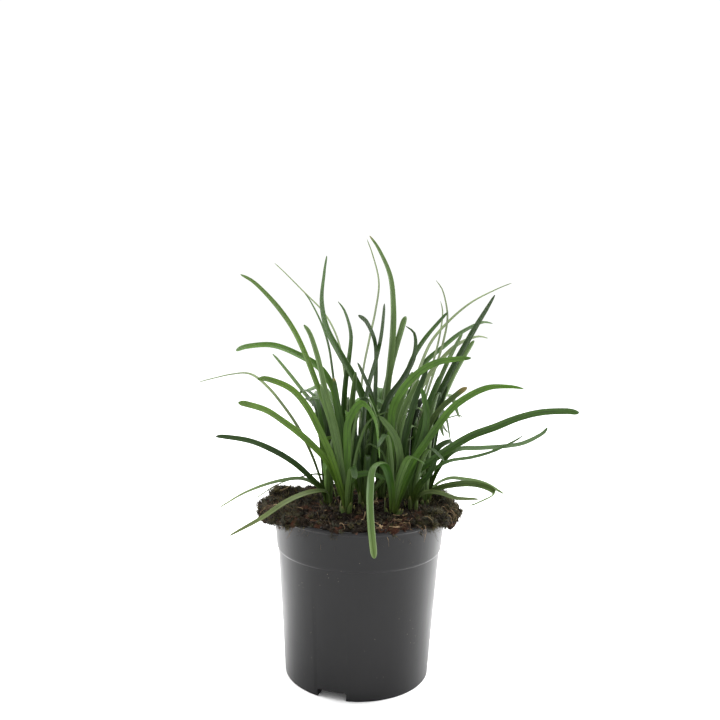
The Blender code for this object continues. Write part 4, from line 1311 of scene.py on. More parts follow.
def rooted_line(tuft, guide):
    """A blade's whole line: up from inside its crown, then through the guide points."""
    centre = crown_centre(tuft)
    lean = Vector((guide[0].x - centre.x, guide[0].y - centre.y, 0.0))
    side = lean.normalized() if lean.length > 1.0 * MM else Vector()
    root = centre + side * ROOT_OFF + Vector((0.0, 0.0, ROOT_LEVEL))
    neck = centre + side * NECK_OFF + Vector((0.0, 0.0, NECK_LEVEL))
    return stepped_line(smooth_line([root, neck] + guide))


def deepen(across, up, depth):
    """The place at a depth that the eye sees at this place on the upright plane."""
    share = (depth * MM - EYE.y) / -EYE.y
    return EYE + (Vector((across * MM, 0.0, up * MM)) - EYE) * share


def traced_blade(leaf):
    first = crown_centre(leaf.tuft).y / MM
    count = len(leaf.guide)
    guide = []
    for k, (across, up) in enumerate(leaf.guide):
        t = (k + 1) / count
        near = first + (leaf.middle_depth - first) * min(1.0, 2.0 * t)
        depth = near + (leaf.tip_depth - leaf.middle_depth) * max(0.0, 2.0 * t - 1.0)
        guide.append(deepen(across, up, depth))
    line = rooted_line(leaf.tuft, guide)
    outward = 1.0 if line[-1].x > line[0].x else -1.0
    turn = math.radians(-leaf.turn * outward)
    twist = math.radians(leaf.twist)
    return Blade(leaf.tuft, line, leaf.width * MM, FACING_ACROSS, turn, twist)


def inside_fan(points):
    """Whether a drawn blade stays inside the fan that the front view is filled with."""
    for point in points:
        share = -EYE.y / (point.y - EYE.y)
        seen = EYE + (point - EYE) * share
        if seen.z > FAN_TOP:
            return False
        if seen.z < FAN_BOTTOM and point.z > CROWN_TOP:
            return False
        half = FAN_HALF_WIDTH + FAN_SPREAD * max(0.0, seen.z - FAN_FOOT)
        if seen.z > FAN_FOOT and abs(seen.x - FAN_MIDDLE) > half:
            return False
    return True


def drawn_blade(tuft, kind, draw):
    middle, spread, reaches, rises, droops = DRAWN_KINDS[kind]
    centre = crown_centre(tuft)
    angle = math.radians(draw.gauss(middle, spread))
    reach = draw.uniform(*reaches) * MM
    rise = draw.uniform(*rises) * MM
    droop = draw.uniform(*droops)
    way = Vector((math.cos(angle), math.sin(angle), 0.0))
    foot = centre + Vector((0.0, 0.0, SOIL_EDGE + SOIL_MOUND))
    guide = [
        foot + way * reach * 0.22 + Vector((0.0, 0.0, rise * 0.6)),
        foot + way * reach * 0.58 + Vector((0.0, 0.0, rise)),
        foot + way * reach + Vector((0.0, 0.0, rise * droop)),
    ]
    line = rooted_line(tuft, guide)
    width = draw.uniform(*DRAWN_WIDTHS) * MM
    turn = math.radians(draw.uniform(-DRAWN_TURN, DRAWN_TURN))
    twist = math.radians(draw.uniform(-DRAWN_TWIST, DRAWN_TWIST))
    across = Vector((-math.sin(angle), math.cos(angle), 0.0))
    return Blade(tuft, line, width, across, turn, twist)


def is_clear(blade, blades, trees, boxes):
    """Whether a blade crosses none of the others."""
    tree = tree_of(blade)
    box_here = box_of(blade)
    for other, other_tree, other_box in zip(blades, trees, boxes):
        if boxes_meet(box_here, other_box) and crossing_steps(blade, tree, other, other_tree):
            return False
    return lift_over_soil([blade]) + clear_crowns([blade]) == 0


def add_drawn_blades(blades, each, seed):
    """Fill in blades by the rule, each drawn again until it crosses no other."""
    draw = random.Random(seed)
    trees = [tree_of(blade) for blade in blades]
    boxes = [box_of(blade) for blade in blades]
    for kind, count in each:
        for tuft in TUFTS:
            if kind == "front" and tuft not in FRONT_TUFTS:
                continue
            for _ in range(count):
                for _ in range(MOST_DRAWS):
                    blade = drawn_blade(tuft, kind, draw)
                    if inside_fan(blade.line[2:]) and is_clear(blade, blades, trees, boxes):
                        blades.append(blade)
                        trees.append(tree_of(blade))
                        boxes.append(box_of(blade))
                        break


def width_at(share):
    for (low, start), (high, end) in zip(WIDTH_ALONG, WIDTH_ALONG[1:]):
        if share <= high:
            return start + (end - start) * (share - low) / (high - low)
    return WIDTH_ALONG[-1][1]


def blade_frames(blade):
    """Width and face directions, carried on along the line from the root."""
    line = blade.line
    last = len(line) - 1
    tangent = (line[1] - line[0]).normalized()
    side = (blade.across - tangent * blade.across.dot(tangent)).normalized()
    side.rotate(Quaternion(tangent, blade.turn))
    frames = []
    for k, share in enumerate(blade.shares):
        ahead = (line[min(k + 1, last)] - line[max(k - 1, 0)]).normalized()
        side.rotate(tangent.rotation_difference(ahead))
        side = (side - ahead * side.dot(ahead)).normalized()
        tangent = ahead
        width_way = side.copy()
        width_way.rotate(Quaternion(tangent, blade.twist * share))
        frames.append((width_way, tangent.cross(width_way)))
    return frames


def blade_mesh(blade, extra=0.0):
    """Four-sided folded cross-sections, each face split in triangles the same way on both sides."""
    vertices = []
    for point, share, (side, face) in zip(blade.line, blade.shares, blade_frames(blade)):
        half = blade.width * width_at(share) / 2.0
        thick = min(BLADE_THICK / 2.0, half * 0.8) + extra
        fold = 2.0 * half * BLADE_FOLD
        vertices.append(point - side * (half + extra) + face * fold)
        vertices.append(point + face * thick)
        vertices.append(point + side * (half + extra) + face * fold)
        vertices.append(point - face * thick)
    faces = [(0, 1, 3), (1, 2, 3)]
    for k in range(len(blade.line) - 1):
        a = 4 * k
        b = a + 4
        for edge in (0, 2):
            for middle in (1, 3):
                faces.append((a + edge, a + middle, b + middle))
                faces.append((a + edge, b + middle, b + edge))
    end = 4 * (len(blade.line) - 1)
    faces.extend([(end, end + 3, end + 1), (end + 1, end + 3, end + 2)])
    return vertices, faces


# Keeping blades clear of each other

def tree_of(blade):
    vertices, faces = blade_mesh(blade, BLADE_CLEAR)
    return BVHTree.FromPolygons(vertices, faces)


def box_of(blade):
    low = [min(point[axis] for point in blade.line) - blade.width for axis in range(3)]
    high = [max(point[axis] for point in blade.line) + blade.width for axis in range(3)]
    return low, high


def boxes_meet(first, second):
    return all(first[0][k] <= second[1][k] and second[0][k] <= first[1][k] for k in range(3))


def step_of(face):
    """The step along the blade that a triangle of blade_mesh belongs to."""
    return max(0, (face - 2) // 8)


def nudge(blade, step, way):
    """Move the blade most at one step, less towards the tip and not at the root."""
    centre = (blade.shares[step] + blade.shares[min(step + 1, len(blade.shares) - 1)]) / 2.0
    for k, share in enumerate(blade.shares):
        if share < centre:
            weight = (share / centre) ** NUDGE_RISE
        else:
            weight = math.exp(-((share - centre) / NUDGE_FALL) ** 2)
        blade.line[k] = blade.line[k] + way * weight


def middle_of(blade, step):
    return (blade.line[step] + blade.line[min(step + 1, len(blade.line) - 1)]) / 2.0


def parting_way(first, step, second, other):
    """Away from the second blade along the line of sight, which keeps the front view."""
    here = middle_of(first, step)
    way = (here - EYE).normalized()
    return way if (here - middle_of(second, other)).dot(way) >= 0.0 else -way


def crossing_steps(first, first_tree, second, second_tree):
    """The steps at which two blades cross, but for the foot of blades in one tuft."""
    found = set()
    for face, other in first_tree.overlap(second_tree):
        steps = (step_of(face), step_of(other))
        inner = min(first.shares[steps[0]], second.shares[steps[1]])
        if first.tuft != second.tuft or inner >= SAME_TUFT_FROM:
            found.add(steps)
    return found


def part_blades(blades, order):
    """Move every crossing pair apart a little; the count of crossings is given back."""
    trees = [tree_of(blade) for blade in blades]
    boxes = [box_of(blade) for blade in blades]
    moves = []
    for first in range(len(blades)):
        for second in range(first + 1, len(blades)):
            if not boxes_meet(boxes[first], boxes[second]):
                continue
            steps = crossing_steps(blades[first], trees[first], blades[second], trees[second])
            if not steps:
                continue
            step, other = sorted(steps)[len(steps) // 2]
            key = (first, second)
            way = parting_way(blades[first], step, blades[second], other)
            if key in order and way.dot(order[key]) < 0.0:
                way = -way
            order[key] = way
            back = parting_way(blades[second], other, blades[first], step)
            if back.dot(way) > 0.0:
                back = -back
            moves.append((first, step, way, second, other, back))
    for first, step, way, second, other, back in moves:
        nudge(blades[first], step, way * PUSH)
        nudge(blades[second], other, back * PUSH)
    return len(moves)


def floor_under(point):
    """The level that a blade must keep above at a place, or none beyond the pot and its clumps."""
    reach = math.hypot(point.x, point.y)
    level = -1.0
    if reach < RIM_RADIUS + RIM_MARGIN:
        level = max(RIM_TOP, soil_height(point.x, point.y))
    for centre, sizes in CLUMPS:
        across = (point.x / MM - centre[0]) / (sizes[0] + CLUMP_MARGIN)
        along = (point.y / MM - centre[1]) / (sizes[1] + CLUMP_MARGIN)
        left = 1.0 - across * across - along * along
        if left > 0.0:
            level = max(level, (centre[2] + (sizes[2] + CLUMP_MARGIN) * math.sqrt(left)) * MM)
    return level


def lift_over_soil(blades):
    """Raise whatever runs too low over the soil, the clumps or the rim."""
    count = 0
    for blade in blades:
        centre = crown_centre(blade.tuft)
        for step in range(1, len(blade.line) - 1):
            point = middle_of(blade, step)
            if math.hypot(point.x - centre.x, point.y - centre.y) < CROWN_REACH:
                continue
            if point.z < floor_under(point) + FLOOR_CLEAR:
                nudge(blade, step, Vector((0.0, 0.0, PUSH)))
                count += 1
    return count


def clear_crowns(blades):
    """Move blades away from the crowns of other tufts."""
    count = 0
    for blade in blades:
        for step in range(1, len(blade.line) - 1):
            point = middle_of(blade, step)
            if point.z > CROWN_TOP + PUSH:
                continue
            for tuft in TUFTS:
                away = point - crown_centre(tuft)
                away.z = 0.0
                if tuft != blade.tuft and away.length < CROWN_LONG + 0.6 * blade.width:
                    nudge(blade, step, away.normalized() * PUSH)
                    count += 1
    return count


def settle(blades):
    order = {}
    for _ in range(MOST_ROUNDS):
        count = part_blades(blades, order) + lift_over_soil(blades) + clear_crowns(blades)
        if count == 0:
            return


# Leaves

def fine_line(blade):
    """A closely stepped middle line through a settled blade, and the share at each of its points."""
    dense = smooth_line(blade.line)
    length = [0.0]
    for start, end in zip(dense, dense[1:]):
        length.append(length[-1] + (end - start).length)
    total = length[-1]
    body = total - TIP_ZONE
    steps = max(4, round(body / LEAF_STEP))
    wanted = [body * k / steps for k in range(steps)]
    wanted += [body + TIP_ZONE * math.sin(math.pi / 2.0 * k / TIP_STEPS) for k in range(TIP_STEPS + 1)]
    points = []
    place = 0
    for here in wanted:
        while place < len(dense) - 2 and length[place + 1] < here:
            place += 1
        span = length[place + 1] - length[place]
        points.append(dense[place].lerp(dense[place + 1], (here - length[place]) / span))
    return points, [here / total for here in wanted], total


def half_width_at(blade, share, left):
    """Half the leaf's width, drawn in to a fine tip on some and kept broad to a blunt one on others."""
    slim = width_at(share)
    broad = max(slim, BLUNT_WIDTH) if share > 0.5 else slim
    into = max(0.0, 1.0 - left / TIP_ZONE)
    body = slim + (broad - slim) * blade.blunt
    return blade.width / 2.0 * body * math.sqrt(max(0.01, 1.0 - into * into))


class LeafPoints:
    """The middle lines of a tuft's leaves with everything the leaf tree reads at each point."""

    def __init__(self):
        self.places = []
        self.edges = []
        self.values = {name: [] for name in ("side", "face", "half_width", "share", "fold", "thick", "key")}
        self.shades = []

    def add(self, blade):
        points, shares, total = fine_line(blade)
        fine = Blade(blade.tuft, points, blade.width, blade.across, blade.turn, blade.twist)
        fine.shares = shares
        first = len(self.places)
        frames = blade_frames(fine)
        for k, (point, share, (side, face)) in enumerate(zip(points, shares, frames)):
            left = total * (1.0 - share)
            half = half_width_at(blade, share, left)
            wave = noise.noise(Vector((share * total / LEAF_WAVE, blade.key * 50.0, 0.0)))
            self.places.append(point + face * (wave * LEAF_RIPPLE * min(1.0, share * 4.0)))
            self.values["side"].append(side)
            self.values["face"].append(face)
            self.values["half_width"].append(half)
            self.values["share"].append(share)
            self.values["fold"].append(blade.fold * (1.0 - 0.55 * share))
            self.values["thick"].append(min(LEAF_THICK, half * 0.7))
            self.values["key"].append(blade.key)
            self.shades.append(shade_along(blade, share, point))
            if k:
                self.edges.append((first + k - 1, first + k))

    def guide(self, name):
        """The points and edges as an object, with the values as attributes."""
        mesh = bpy.data.meshes.new(name)
        mesh.from_pydata([tuple(place) for place in self.places], self.edges, [])
        for key, values in self.values.items():
            store_values(mesh, key, "FLOAT_VECTOR" if key in ("side", "face") else "FLOAT", values)
        store_values(mesh, "middle", "FLOAT_VECTOR", self.places)
        store_values(mesh, "shade", "FLOAT_COLOR", [(*colour, 1.0) for colour in self.shades])
        thing = bpy.data.objects.new(name, mesh)
        bpy.context.scene.collection.objects.link(thing)
        return thing


def mixed(first, second, share):
    share = max(0.0, min(1.0, share))
    return tuple(a + (b - a) * share for a, b in zip(first, second))


def shade_along(blade, share, point):
    """A leaf's colour: pale at its foot, its own green with painted shade darkening its lower part, and a dry
    tip on some.
    """
    own = SHADES[blade.shade]
    level = (point.z - SOIL_EDGE) / FOOT_PALE_RISE
    colour = mixed(own, SHADES["sheath"], 0.6 * (1.0 - level)) if level < 1.0 else own
    # Painted shade: above the pale foot, the lower part of the blade is darkened towards the dark green, as
    # in the shade of the crowded plant
    shaded_colour = mixed(colour, SHADES["dark"], 0.35 * (1.0 - share) ** 2) if level > 0.4 else colour
    if blade.dry > 0.0:
        shaded_colour = mixed(shaded_colour, SHADES["dry"], (share - 1.0 + blade.dry) / blade.dry * 1.4)
    return shaded_colour


def leaf_tree():
    """A leaf swept along each middle line, with a channelled cross-section of its own thickness."""
    tree = Tree("Leaves", {"Sides": 14})
    path = tree.node("GeometryNodeMeshToCurve", Mesh=tree.asked("Geometry"))
    ring = tree.node(
        "GeometryNodeCurvePrimitiveCircle", {"mode": "RADIUS"}, Resolution=tree.asked("Sides"), Radius=0.001
    )
    index = tree.node("GeometryNodeInputIndex")
    turn = tree.math("DIVIDE", tree.math("MULTIPLY", index.outputs[0], 2.0 * math.pi), tree.asked("Sides"))
    section = tree.stored(ring.outputs[0], "across", tree.math("COSINE", turn))
    section = tree.stored(section, "upper", tree.math("SINE", turn))
    swept = tree.node(
        "GeometryNodeCurveToMesh", Curve=path.outputs[0], Profile_Curve=section, Fill_Caps=True
    )
    reach = tree.math("MULTIPLY", tree.value("across"), tree.value("half_width"))
    sideways = tree.scaled(tree.value("side", "FLOAT_VECTOR"), reach)
    cupped = tree.math("MULTIPLY", tree.math("ABSOLUTE", tree.value("across")), tree.value("fold"))
    cupped = tree.math("MULTIPLY", cupped, tree.math("ABSOLUTE", reach))
    risen = tree.math("MULTIPLY_ADD", tree.value("upper"), tree.value("thick"), cupped)
    facing = tree.scaled(tree.value("face", "FLOAT_VECTOR"), risen)
    place = tree.added(tree.value("middle", "FLOAT_VECTOR"), tree.added(sideways, facing))
    moved = tree.node("GeometryNodeSetPosition", Geometry=swept.outputs[0], Position=place)
    tree.finish(moved.outputs[0])
    return tree


def sheath_blades(draw):
    """Short old leaf bases that stand around the foot of each tuft."""
    blades = []
    for tuft, (_, _, turn) in TUFTS.items():
        centre = crown_centre(tuft)
        spin = Matrix.Rotation(math.radians(turn), 3, "Z")
        for k in range(SHEATHS_EACH):
            angle = 2.0 * math.pi * (k + draw.uniform(-0.3, 0.3)) / SHEATHS_EACH
            out = spin @ Vector((CROWN_LONG * math.cos(angle), CROWN_SHORT * math.sin(angle), 0.0))
            root = centre + out * 0.72 + Vector((0.0, 0.0, ROOT_LEVEL))
            rise = draw.uniform(*SHEATH_RISES) * MM
            lean = draw.uniform(*SHEATH_LEANS)
            knee = centre + out * 0.95 + Vector((0.0, 0.0, ROOT_LEVEL + rise * 0.5))
            tip = centre + out * lean + Vector((0.0, 0.0, ROOT_LEVEL + rise))
            line = stepped_line(smooth_line([root, knee, tip]))
            across = Vector((-out.y, out.x, 0.0)).normalized()
            blade = Blade(tuft, line, draw.uniform(*SHEATH_WIDTHS) * MM, across, 0.0, 0.0)
            blade.shade = draw.choice(SHEATH_SHADES)
            blade.dry = SHEATH_DRY
            finish_blade(blade, draw)
            blade.fold = 0.9
            blades.append(blade)
    return blades


def finish_blade(blade, draw):
    """What only the fine leaf needs: its channel, its tip and a number of its own."""
    blade.key = draw.random()
    blade.fold = draw.uniform(0.42, 0.75)
    blade.blunt = draw.uniform(0.1, 0.9)


def all_blades(settings):
    """The traced, drawn and old leaves in one list, settled clear of each other."""
    blades = [traced_blade(leaf) for leaf in LEAVES]
    settle(blades)
    for blade, leaf in zip(blades, LEAVES):
        blade.shade = leaf.shade
    add_drawn_blades(blades, DRAWN_EACH, SEED)
    packed = len(blades)
    add_drawn_blades(blades, INNER_EACH, INNER_SEED)
    draw = random.Random(settings.seed)
    for k, blade in enumerate(blades):
        if k >= len(LEAVES):
            blade.shade = draw.choice(DRAWN_SHADES if k < packed else INNER_SHADES)
        blade.dry = 0.02 if draw.random() < 0.08 else 0.0
        finish_blade(blade, draw)
        if blade.shade == "cut":
            blade.dry = 0.06
    for blade, leaf in zip(blades, LEAVES):
        blade.blunt = leaf.blunt
    for place in EDGE_ON:
        blades[place].turn = math.copysign(EDGE_ON_TURN, blades[place].turn)
    blades.extend(sheath_blades(random.Random(SHEATH_SEED)))
    return blades


def make_leaves(settings):
    blades = all_blades(settings)
    material = leaf_material(settings)
    tree = leaf_tree()
    for tuft in TUFTS:
        points = LeafPoints()
        for blade in blades:
            if blade.tuft == tuft:
                points.add(blade)
        leaves = points.guide("leaves_" + tuft)
        run_tree(leaves, tree, {"Sides": settings.sides, "Material": material})
        face_outward(leaves)
        leaves.data.shade_smooth()
        dressed(leaves, material)
        hand_over(leaves, "leaves", "tuft_" + tuft)


# Finishes

class Finish(Network):
    """A material whose shader network ends in one surface."""

    def __init__(self, name):
        self.material = bpy.data.materials.new(name)
        self.material.use_nodes = True
        super().__init__(self.material.node_tree)
        self.surface = self.nodes["Principled BSDF"]

    def place(self):
        return self.node("ShaderNodeTexCoord").outputs["Object"]

    def value(self, name, output="Fac"):
        """A named value that the mesh carries."""
        return self.node("ShaderNodeAttribute", {"attribute_name": name}).outputs[output]

    def noise(self, vector, scale, detail=3.0, rough=0.55):
        made = self.node("ShaderNodeTexNoise", Vector=vector, Scale=scale, Detail=detail, Roughness=rough)
        return made.outputs["Fac"]

    def between(self, value, low, high):
        """The value's place between low and high, held to 0 and 1."""
        made = self.node("ShaderNodeMapRange", Value=value, From_Min=low, From_Max=high)
        made.clamp = True
        return made.outputs[0]

    def mix(self, share, first, second, blend="MIX"):
        made = self.node("ShaderNodeMix", {"data_type": "RGBA", "blend_type": blend})
        self.feed(made.inputs[0], share)
        for socket, colour in ((made.inputs[6], first), (made.inputs[7], second)):
            self.feed(socket, colour if isinstance(colour, bpy.types.NodeSocket) else (*colour, 1.0))
        return made.outputs[2]

    def over(self, colour, layer, where, amount):
        """A layer of another colour over part of a colour, at most so strong."""
        return self.mix(self.math("MULTIPLY", where, amount), colour, layer)

    def bump(self, height, strength, distance):
        made = self.node("ShaderNodeBump", Height=height, Strength=strength, Distance=distance)
        self.feed(self.surface.inputs["Normal"], made.outputs[0])

    def set(self, **inputs):
        for key, value in inputs.items():
            self.feed(self.surface.inputs[key.replace("_", " ")], value)
        return self.material


def pot_material(settings):
    """Dark moulded plastic with a satin face, faint flow marks and dust."""
    finish = Finish("Moulded dark plastic")
    place = finish.place()
    broad = finish.noise(place, 26.0, 2.0)
    fine = finish.noise(place, 900.0, 2.0)
    streaks = finish.node("ShaderNodeMapping", Vector=place, Scale=(1.0, 1.0, 0.12))
    flow = finish.noise(streaks.outputs[0], 190.0, 3.0)
    lighter = [channel * 1.25 for channel in settings.colour]
    colour = finish.mix(finish.between(broad, 0.35, 0.7), settings.colour, lighter)
    specks = finish.node("ShaderNodeTexVoronoi", Vector=place, Scale=260.0)
    dust = finish.between(specks.outputs["Distance"], 0.075, 0.045)
    patch = finish.between(finish.noise(place, 42.0, 2.0), 0.56, 0.62)
    colour = finish.over(colour, DUST, finish.math("MULTIPLY", dust, patch), 0.6)
    haze = finish.between(finish.noise(place, 12.0, 4.0), 0.42, 0.75)
    rough = finish.math("MULTIPLY_ADD", haze, 0.12, settings.roughness)
    rough = finish.math("MULTIPLY_ADD", flow, 0.07, rough)
    height = finish.math("MULTIPLY_ADD", flow, 0.5, finish.math("MULTIPLY", fine, 0.22))
    finish.bump(height, 0.25, 0.0003)
    return finish.set(Base_Color=colour, Roughness=rough, Specular_IOR_Level=0.18)


def soil_material(settings):
    """Damp peat: dark brown crumbs with olive moss, red-brown bark and pale fibre dust; darker where the bump
    runs low, partly the peat's own tone and partly painted shade in the hollows.
    """
    finish = Finish("Peat and moss")
    place = finish.place()
    broad = finish.noise(place, 60.0, 3.0)
    medium = finish.noise(place, 240.0, 4.0)
    fine = finish.noise(place, 900.0, 3.0)
    bark = finish.between(finish.noise(place, 95.0, 2.0), 0.58, 0.66)
    # Dark peat where the bump below runs low and light peat where it rises: partly the peat's own tone,
    # partly painted shade in the hollows
    colour = finish.mix(finish.between(medium, 0.32, 0.68), settings.dark, settings.light)
    colour = finish.mix(finish.between(broad, 0.55, 0.68), colour, settings.moss)
    colour = finish.over(colour, RED_BARK, bark, 0.75)
    colour = finish.over(colour, FIBRE_DUST, finish.between(fine, 0.6, 0.75), 0.5)
    colour = finish.over(colour, BARK_CHIPS, bark_patch(finish, place), 0.8)
    height = finish.math("MULTIPLY_ADD", medium, 0.7, finish.math("MULTIPLY", fine, 0.45))
    finish.bump(height, 0.9, 0.0011)
    rough = finish.math("MULTIPLY_ADD", finish.between(medium, 0.0, 1.0), 0.15, 0.8)
    return finish.set(Base_Color=colour, Roughness=rough, Specular_IOR_Level=0.08)


def bark_patch(finish, place):
    """A patch of red-brown bark at the front of the soil, broken up at its edge."""
    parts = finish.node("ShaderNodeSeparateXYZ", Vector=place)
    across = finish.math("SUBTRACT", parts.outputs["X"], BARK_PATCH[0])
    along = finish.math("SUBTRACT", parts.outputs["Y"], BARK_PATCH[1])
    squares = finish.math("MULTIPLY_ADD", across, across, finish.math("MULTIPLY", along, along))
    away = finish.math("SQRT", squares)
    broken = finish.math("MULTIPLY_ADD", finish.noise(place, 180.0), 0.012, away)
    return finish.between(broken, BARK_PATCH_RADIUS * 1.4, BARK_PATCH_RADIUS * 0.9)


def litter_material(name, dark, middle, light):
    """One finish for a kind of litter: each bit takes its own place on a run of colours."""
    finish = Finish(name)
    tint = finish.value("tint")
    worn = finish.noise(finish.place(), 700.0, 3.0)
    colour = finish.mix(finish.between(tint, 0.0, 0.55), dark, middle)
    colour = finish.mix(finish.between(tint, 0.55, 1.0), colour, light)
    colour = finish.over(colour, dark, finish.between(worn, 0.45, 0.7), 0.45)
    finish.bump(worn, 0.5, 0.0003)
    rough = finish.math("MULTIPLY_ADD", tint, 0.2, 0.62)
    return finish.set(Base_Color=colour, Roughness=rough, Specular_IOR_Level=0.25)


def leaf_material(settings):
    """Strap leaves: parallel veins along the blade, painted shade along the middle of the fold, a painted
    sheen along the edges and a paler underside.
    """
    finish = Finish("Strap leaf")
    shade = finish.value("shade", "Color")
    across, upper, share, key = (finish.value(name) for name in ("across", "upper", "share", "key"))
    place = finish.place()
    veins = finish.math("SINE", finish.math("MULTIPLY", across, settings.veins * math.pi))
    veins = finish.math("MULTIPLY_ADD", veins, 0.5, 0.5)
    own = finish.math("MULTIPLY", key, 9.0)
    along = finish.math("MULTIPLY", finish.math("ADD", share, own), 7.0)
    strip = finish.node("ShaderNodeCombineXYZ", X=finish.math("MULTIPLY", across, 5.0), Y=along, Z=own)
    streaks = finish.noise(strip.outputs[0], 1.4, 3.0)
    mottle = finish.noise(place, 210.0, 3.0)
    gentle = finish.noise(place, 38.0, 2.0)
    middle = finish.math("ABSOLUTE", across)
    pale = finish.mix(1.0, shade, PALER, "MULTIPLY")
    # A darker copy of the leaf's colour: random dark streaks and blotches, and painted shade along the middle
    # of the blade
    dark_tone_and_shade = finish.mix(1.0, shade, TONE_AND_SHADE_DARKENING, "MULTIPLY")
    colour = finish.over(shade, pale, finish.between(streaks, 0.46, 0.72), 0.75)
    colour = finish.over(colour, dark_tone_and_shade, finish.between(streaks, 0.48, 0.26), 0.75)
    colour = finish.over(colour, dark_tone_and_shade, finish.between(gentle, 0.52, 0.36), 0.5)
    colour = finish.over(colour, pale, veins, 0.22)
    colour = finish.over(colour, LEAF_BACK, finish.between(upper, -0.05, -0.3), settings.underside)
    # Painted shade along the middle of the blade, in the groove of the fold
    colour = finish.over(colour, dark_tone_and_shade, finish.between(middle, 0.17, 0.04), 0.55)
    # Painted sheen: lighter along both edges of the blade
    colour = finish.over(colour, LEAF_EDGE_SHEEN, finish.between(middle, 0.9, 1.0), 0.3)
    height = finish.math("MULTIPLY_ADD", veins, 0.7, finish.math("MULTIPLY", mottle, 0.35))
    finish.bump(height, 0.35, 0.0002)
    rough = finish.math("MULTIPLY_ADD", mottle, 0.16, settings.roughness)
    return finish.set(Base_Color=colour, Roughness=rough, Specular_IOR_Level=0.19)


def floor_material():
    """Plain pale paper with hardly any grain."""
    finish = Finish("Studio paper")
    grain = finish.noise(finish.place(), 30.0, 2.0)
    return finish.set(Base_Color=finish.mix(grain, *PAPER), Roughness=0.9)


# Stage

def area_light(name, place, size, power):
    light = bpy.data.lights.new(name, "AREA")
    light.shape = "RECTANGLE"
    light.size = size[0]
    light.size_y = size[1]
    light.energy = power
    thing = bpy.data.objects.new(name, light)
    thing.location = place
    thing.rotation_euler = (LIGHT_AIM - Vector(place)).to_track_quat("-Z", "Y").to_euler()
    bpy.context.scene.collection.objects.link(thing)


def make_floor():
    half = FLOOR_HALF
    corners = [(-half, -half, 0.0), (half, -half, 0.0), (half, half, 0.0), (-half, half, 0.0)]
    floor = mesh_object("studio_floor", corners, [(0, 1, 2, 3)])
    dressed(floor, floor_material())


def make_camera(settings):
    data = bpy.data.cameras.new("front_camera")
    data.sensor_width = FILM_WIDTH
    data.lens = settings.lens
    camera = bpy.data.objects.new("front_camera", data)
    bpy.context.scene.collection.objects.link(camera)
    tilt = Matrix.Rotation(math.radians(90.0) - settings.pitch, 4, "X")
    roll = Matrix.Rotation(settings.roll, 4, "Z")
    camera.matrix_world = Matrix.Translation(EYE) @ tilt @ roll
    bpy.context.scene.camera = camera


def make_world(settings):
    world = bpy.data.worlds.new("soft white room")
    world.use_nodes = True
    background = world.node_tree.nodes["Background"]
    background.inputs["Color"].default_value = (1.0, 1.0, 1.0, 1.0)
    background.inputs["Strength"].default_value = settings.room_light
    bpy.context.scene.world = world


def make_stage(settings):
    make_floor()
    make_world(settings)
    for name, (place, size, share) in LIGHTS.items():
        area_light(name, place, size, settings.lamp_power * share)
    make_camera(settings)
    bpy.context.scene.view_settings.view_transform = "Standard"
    bpy.context.scene.view_settings.look = "None"


# Settings

class PotSettings(PropertyGroup):
    sides: IntProperty(name="Sides", description="Flat sides round the pot", default=160, min=24, max=256)
    colour: FloatVectorProperty(
        name="Plastic", description="Colour of the pot", subtype="COLOR", size=3, default=(
            0.0055, 0.0055, 0.006,
        )
    )
    roughness: FloatProperty(
        name="Roughness", description="How dull the plastic is",
        default=0.27, min=0.05, max=1.0, subtype="FACTOR"
    )


class SoilSettings(PropertyGroup):
    crumb_height: FloatProperty(
        name="Crumb height", description="How far crumbs stand up", default=1.8 * MM, unit="LENGTH"
    )
    # The darkest peat goes where the bump runs low: partly the peat's own tone, partly painted shade in the
    # hollows
    dark: FloatVectorProperty(
        name="Dark peat", description="Colour in the hollows", subtype="COLOR", size=3, default=(
            0.0013, 0.0009, 0.0006,
        )
    )
    light: FloatVectorProperty(
        name="Light peat", description="Colour of the crumbs", subtype="COLOR", size=3, default=(
            0.010, 0.006, 0.003,
        )
    )
    moss: FloatVectorProperty(
        name="Moss", description="Colour of the moss film", subtype="COLOR", size=3, default=(
            0.010, 0.010, 0.003,
        )
    )


class LitterSettings(PropertyGroup):
    fibre_density: FloatProperty(
        name="Fibres", description="Fibres on a square metre of soil", default=230000.0, min=0.0
    )
    fibre_length: FloatProperty(
        name="Fibre length", description="Longest fibre", default=8.0 * MM, unit="LENGTH"
    )
    crumb_density: FloatProperty(
        name="Crumbs", description="Crumbs on a square metre of soil", default=52000.0, min=0.0
    )
    sprig_density: FloatProperty(
        name="Moss sprigs", description="Sprigs on a square metre of moss", default=150000.0, min=0.0
    )
    sprig_height: FloatProperty(
        name="Sprig height", description="Tallest moss sprig", default=4.8 * MM, unit="LENGTH"
    )
    straw_count: IntProperty(name="Straw", description="Bits of straw and bark", default=85, min=0)
    hanging_left: IntProperty(name="Roots left", description="Roots over the left rim", default=60, min=0)
    hanging_right: IntProperty(name="Roots right", description="Roots over the right rim", default=70, min=0)
    seed: IntProperty(name="Seed", description="Number that fixes the random draws", default=4)


class LeafSettings(PropertyGroup):
    sides: IntProperty(
        name="Sides", description="Points round a leaf's cross-section", default=14, min=6, max=24,
    )
    veins: FloatProperty(name="Veins", description="Veins across a leaf", default=15.0, min=1.0)
    underside: FloatProperty(
        name="Pale underside", description="How pale the back is",
        default=0.55, min=0.0, max=1.0, subtype="FACTOR"
    )
    roughness: FloatProperty(
        name="Roughness", description="How dull the leaves are",
        default=0.36, min=0.05, max=1.0, subtype="FACTOR"
    )
    seed: IntProperty(name="Seed", description="Number that fixes the random draws", default=23)


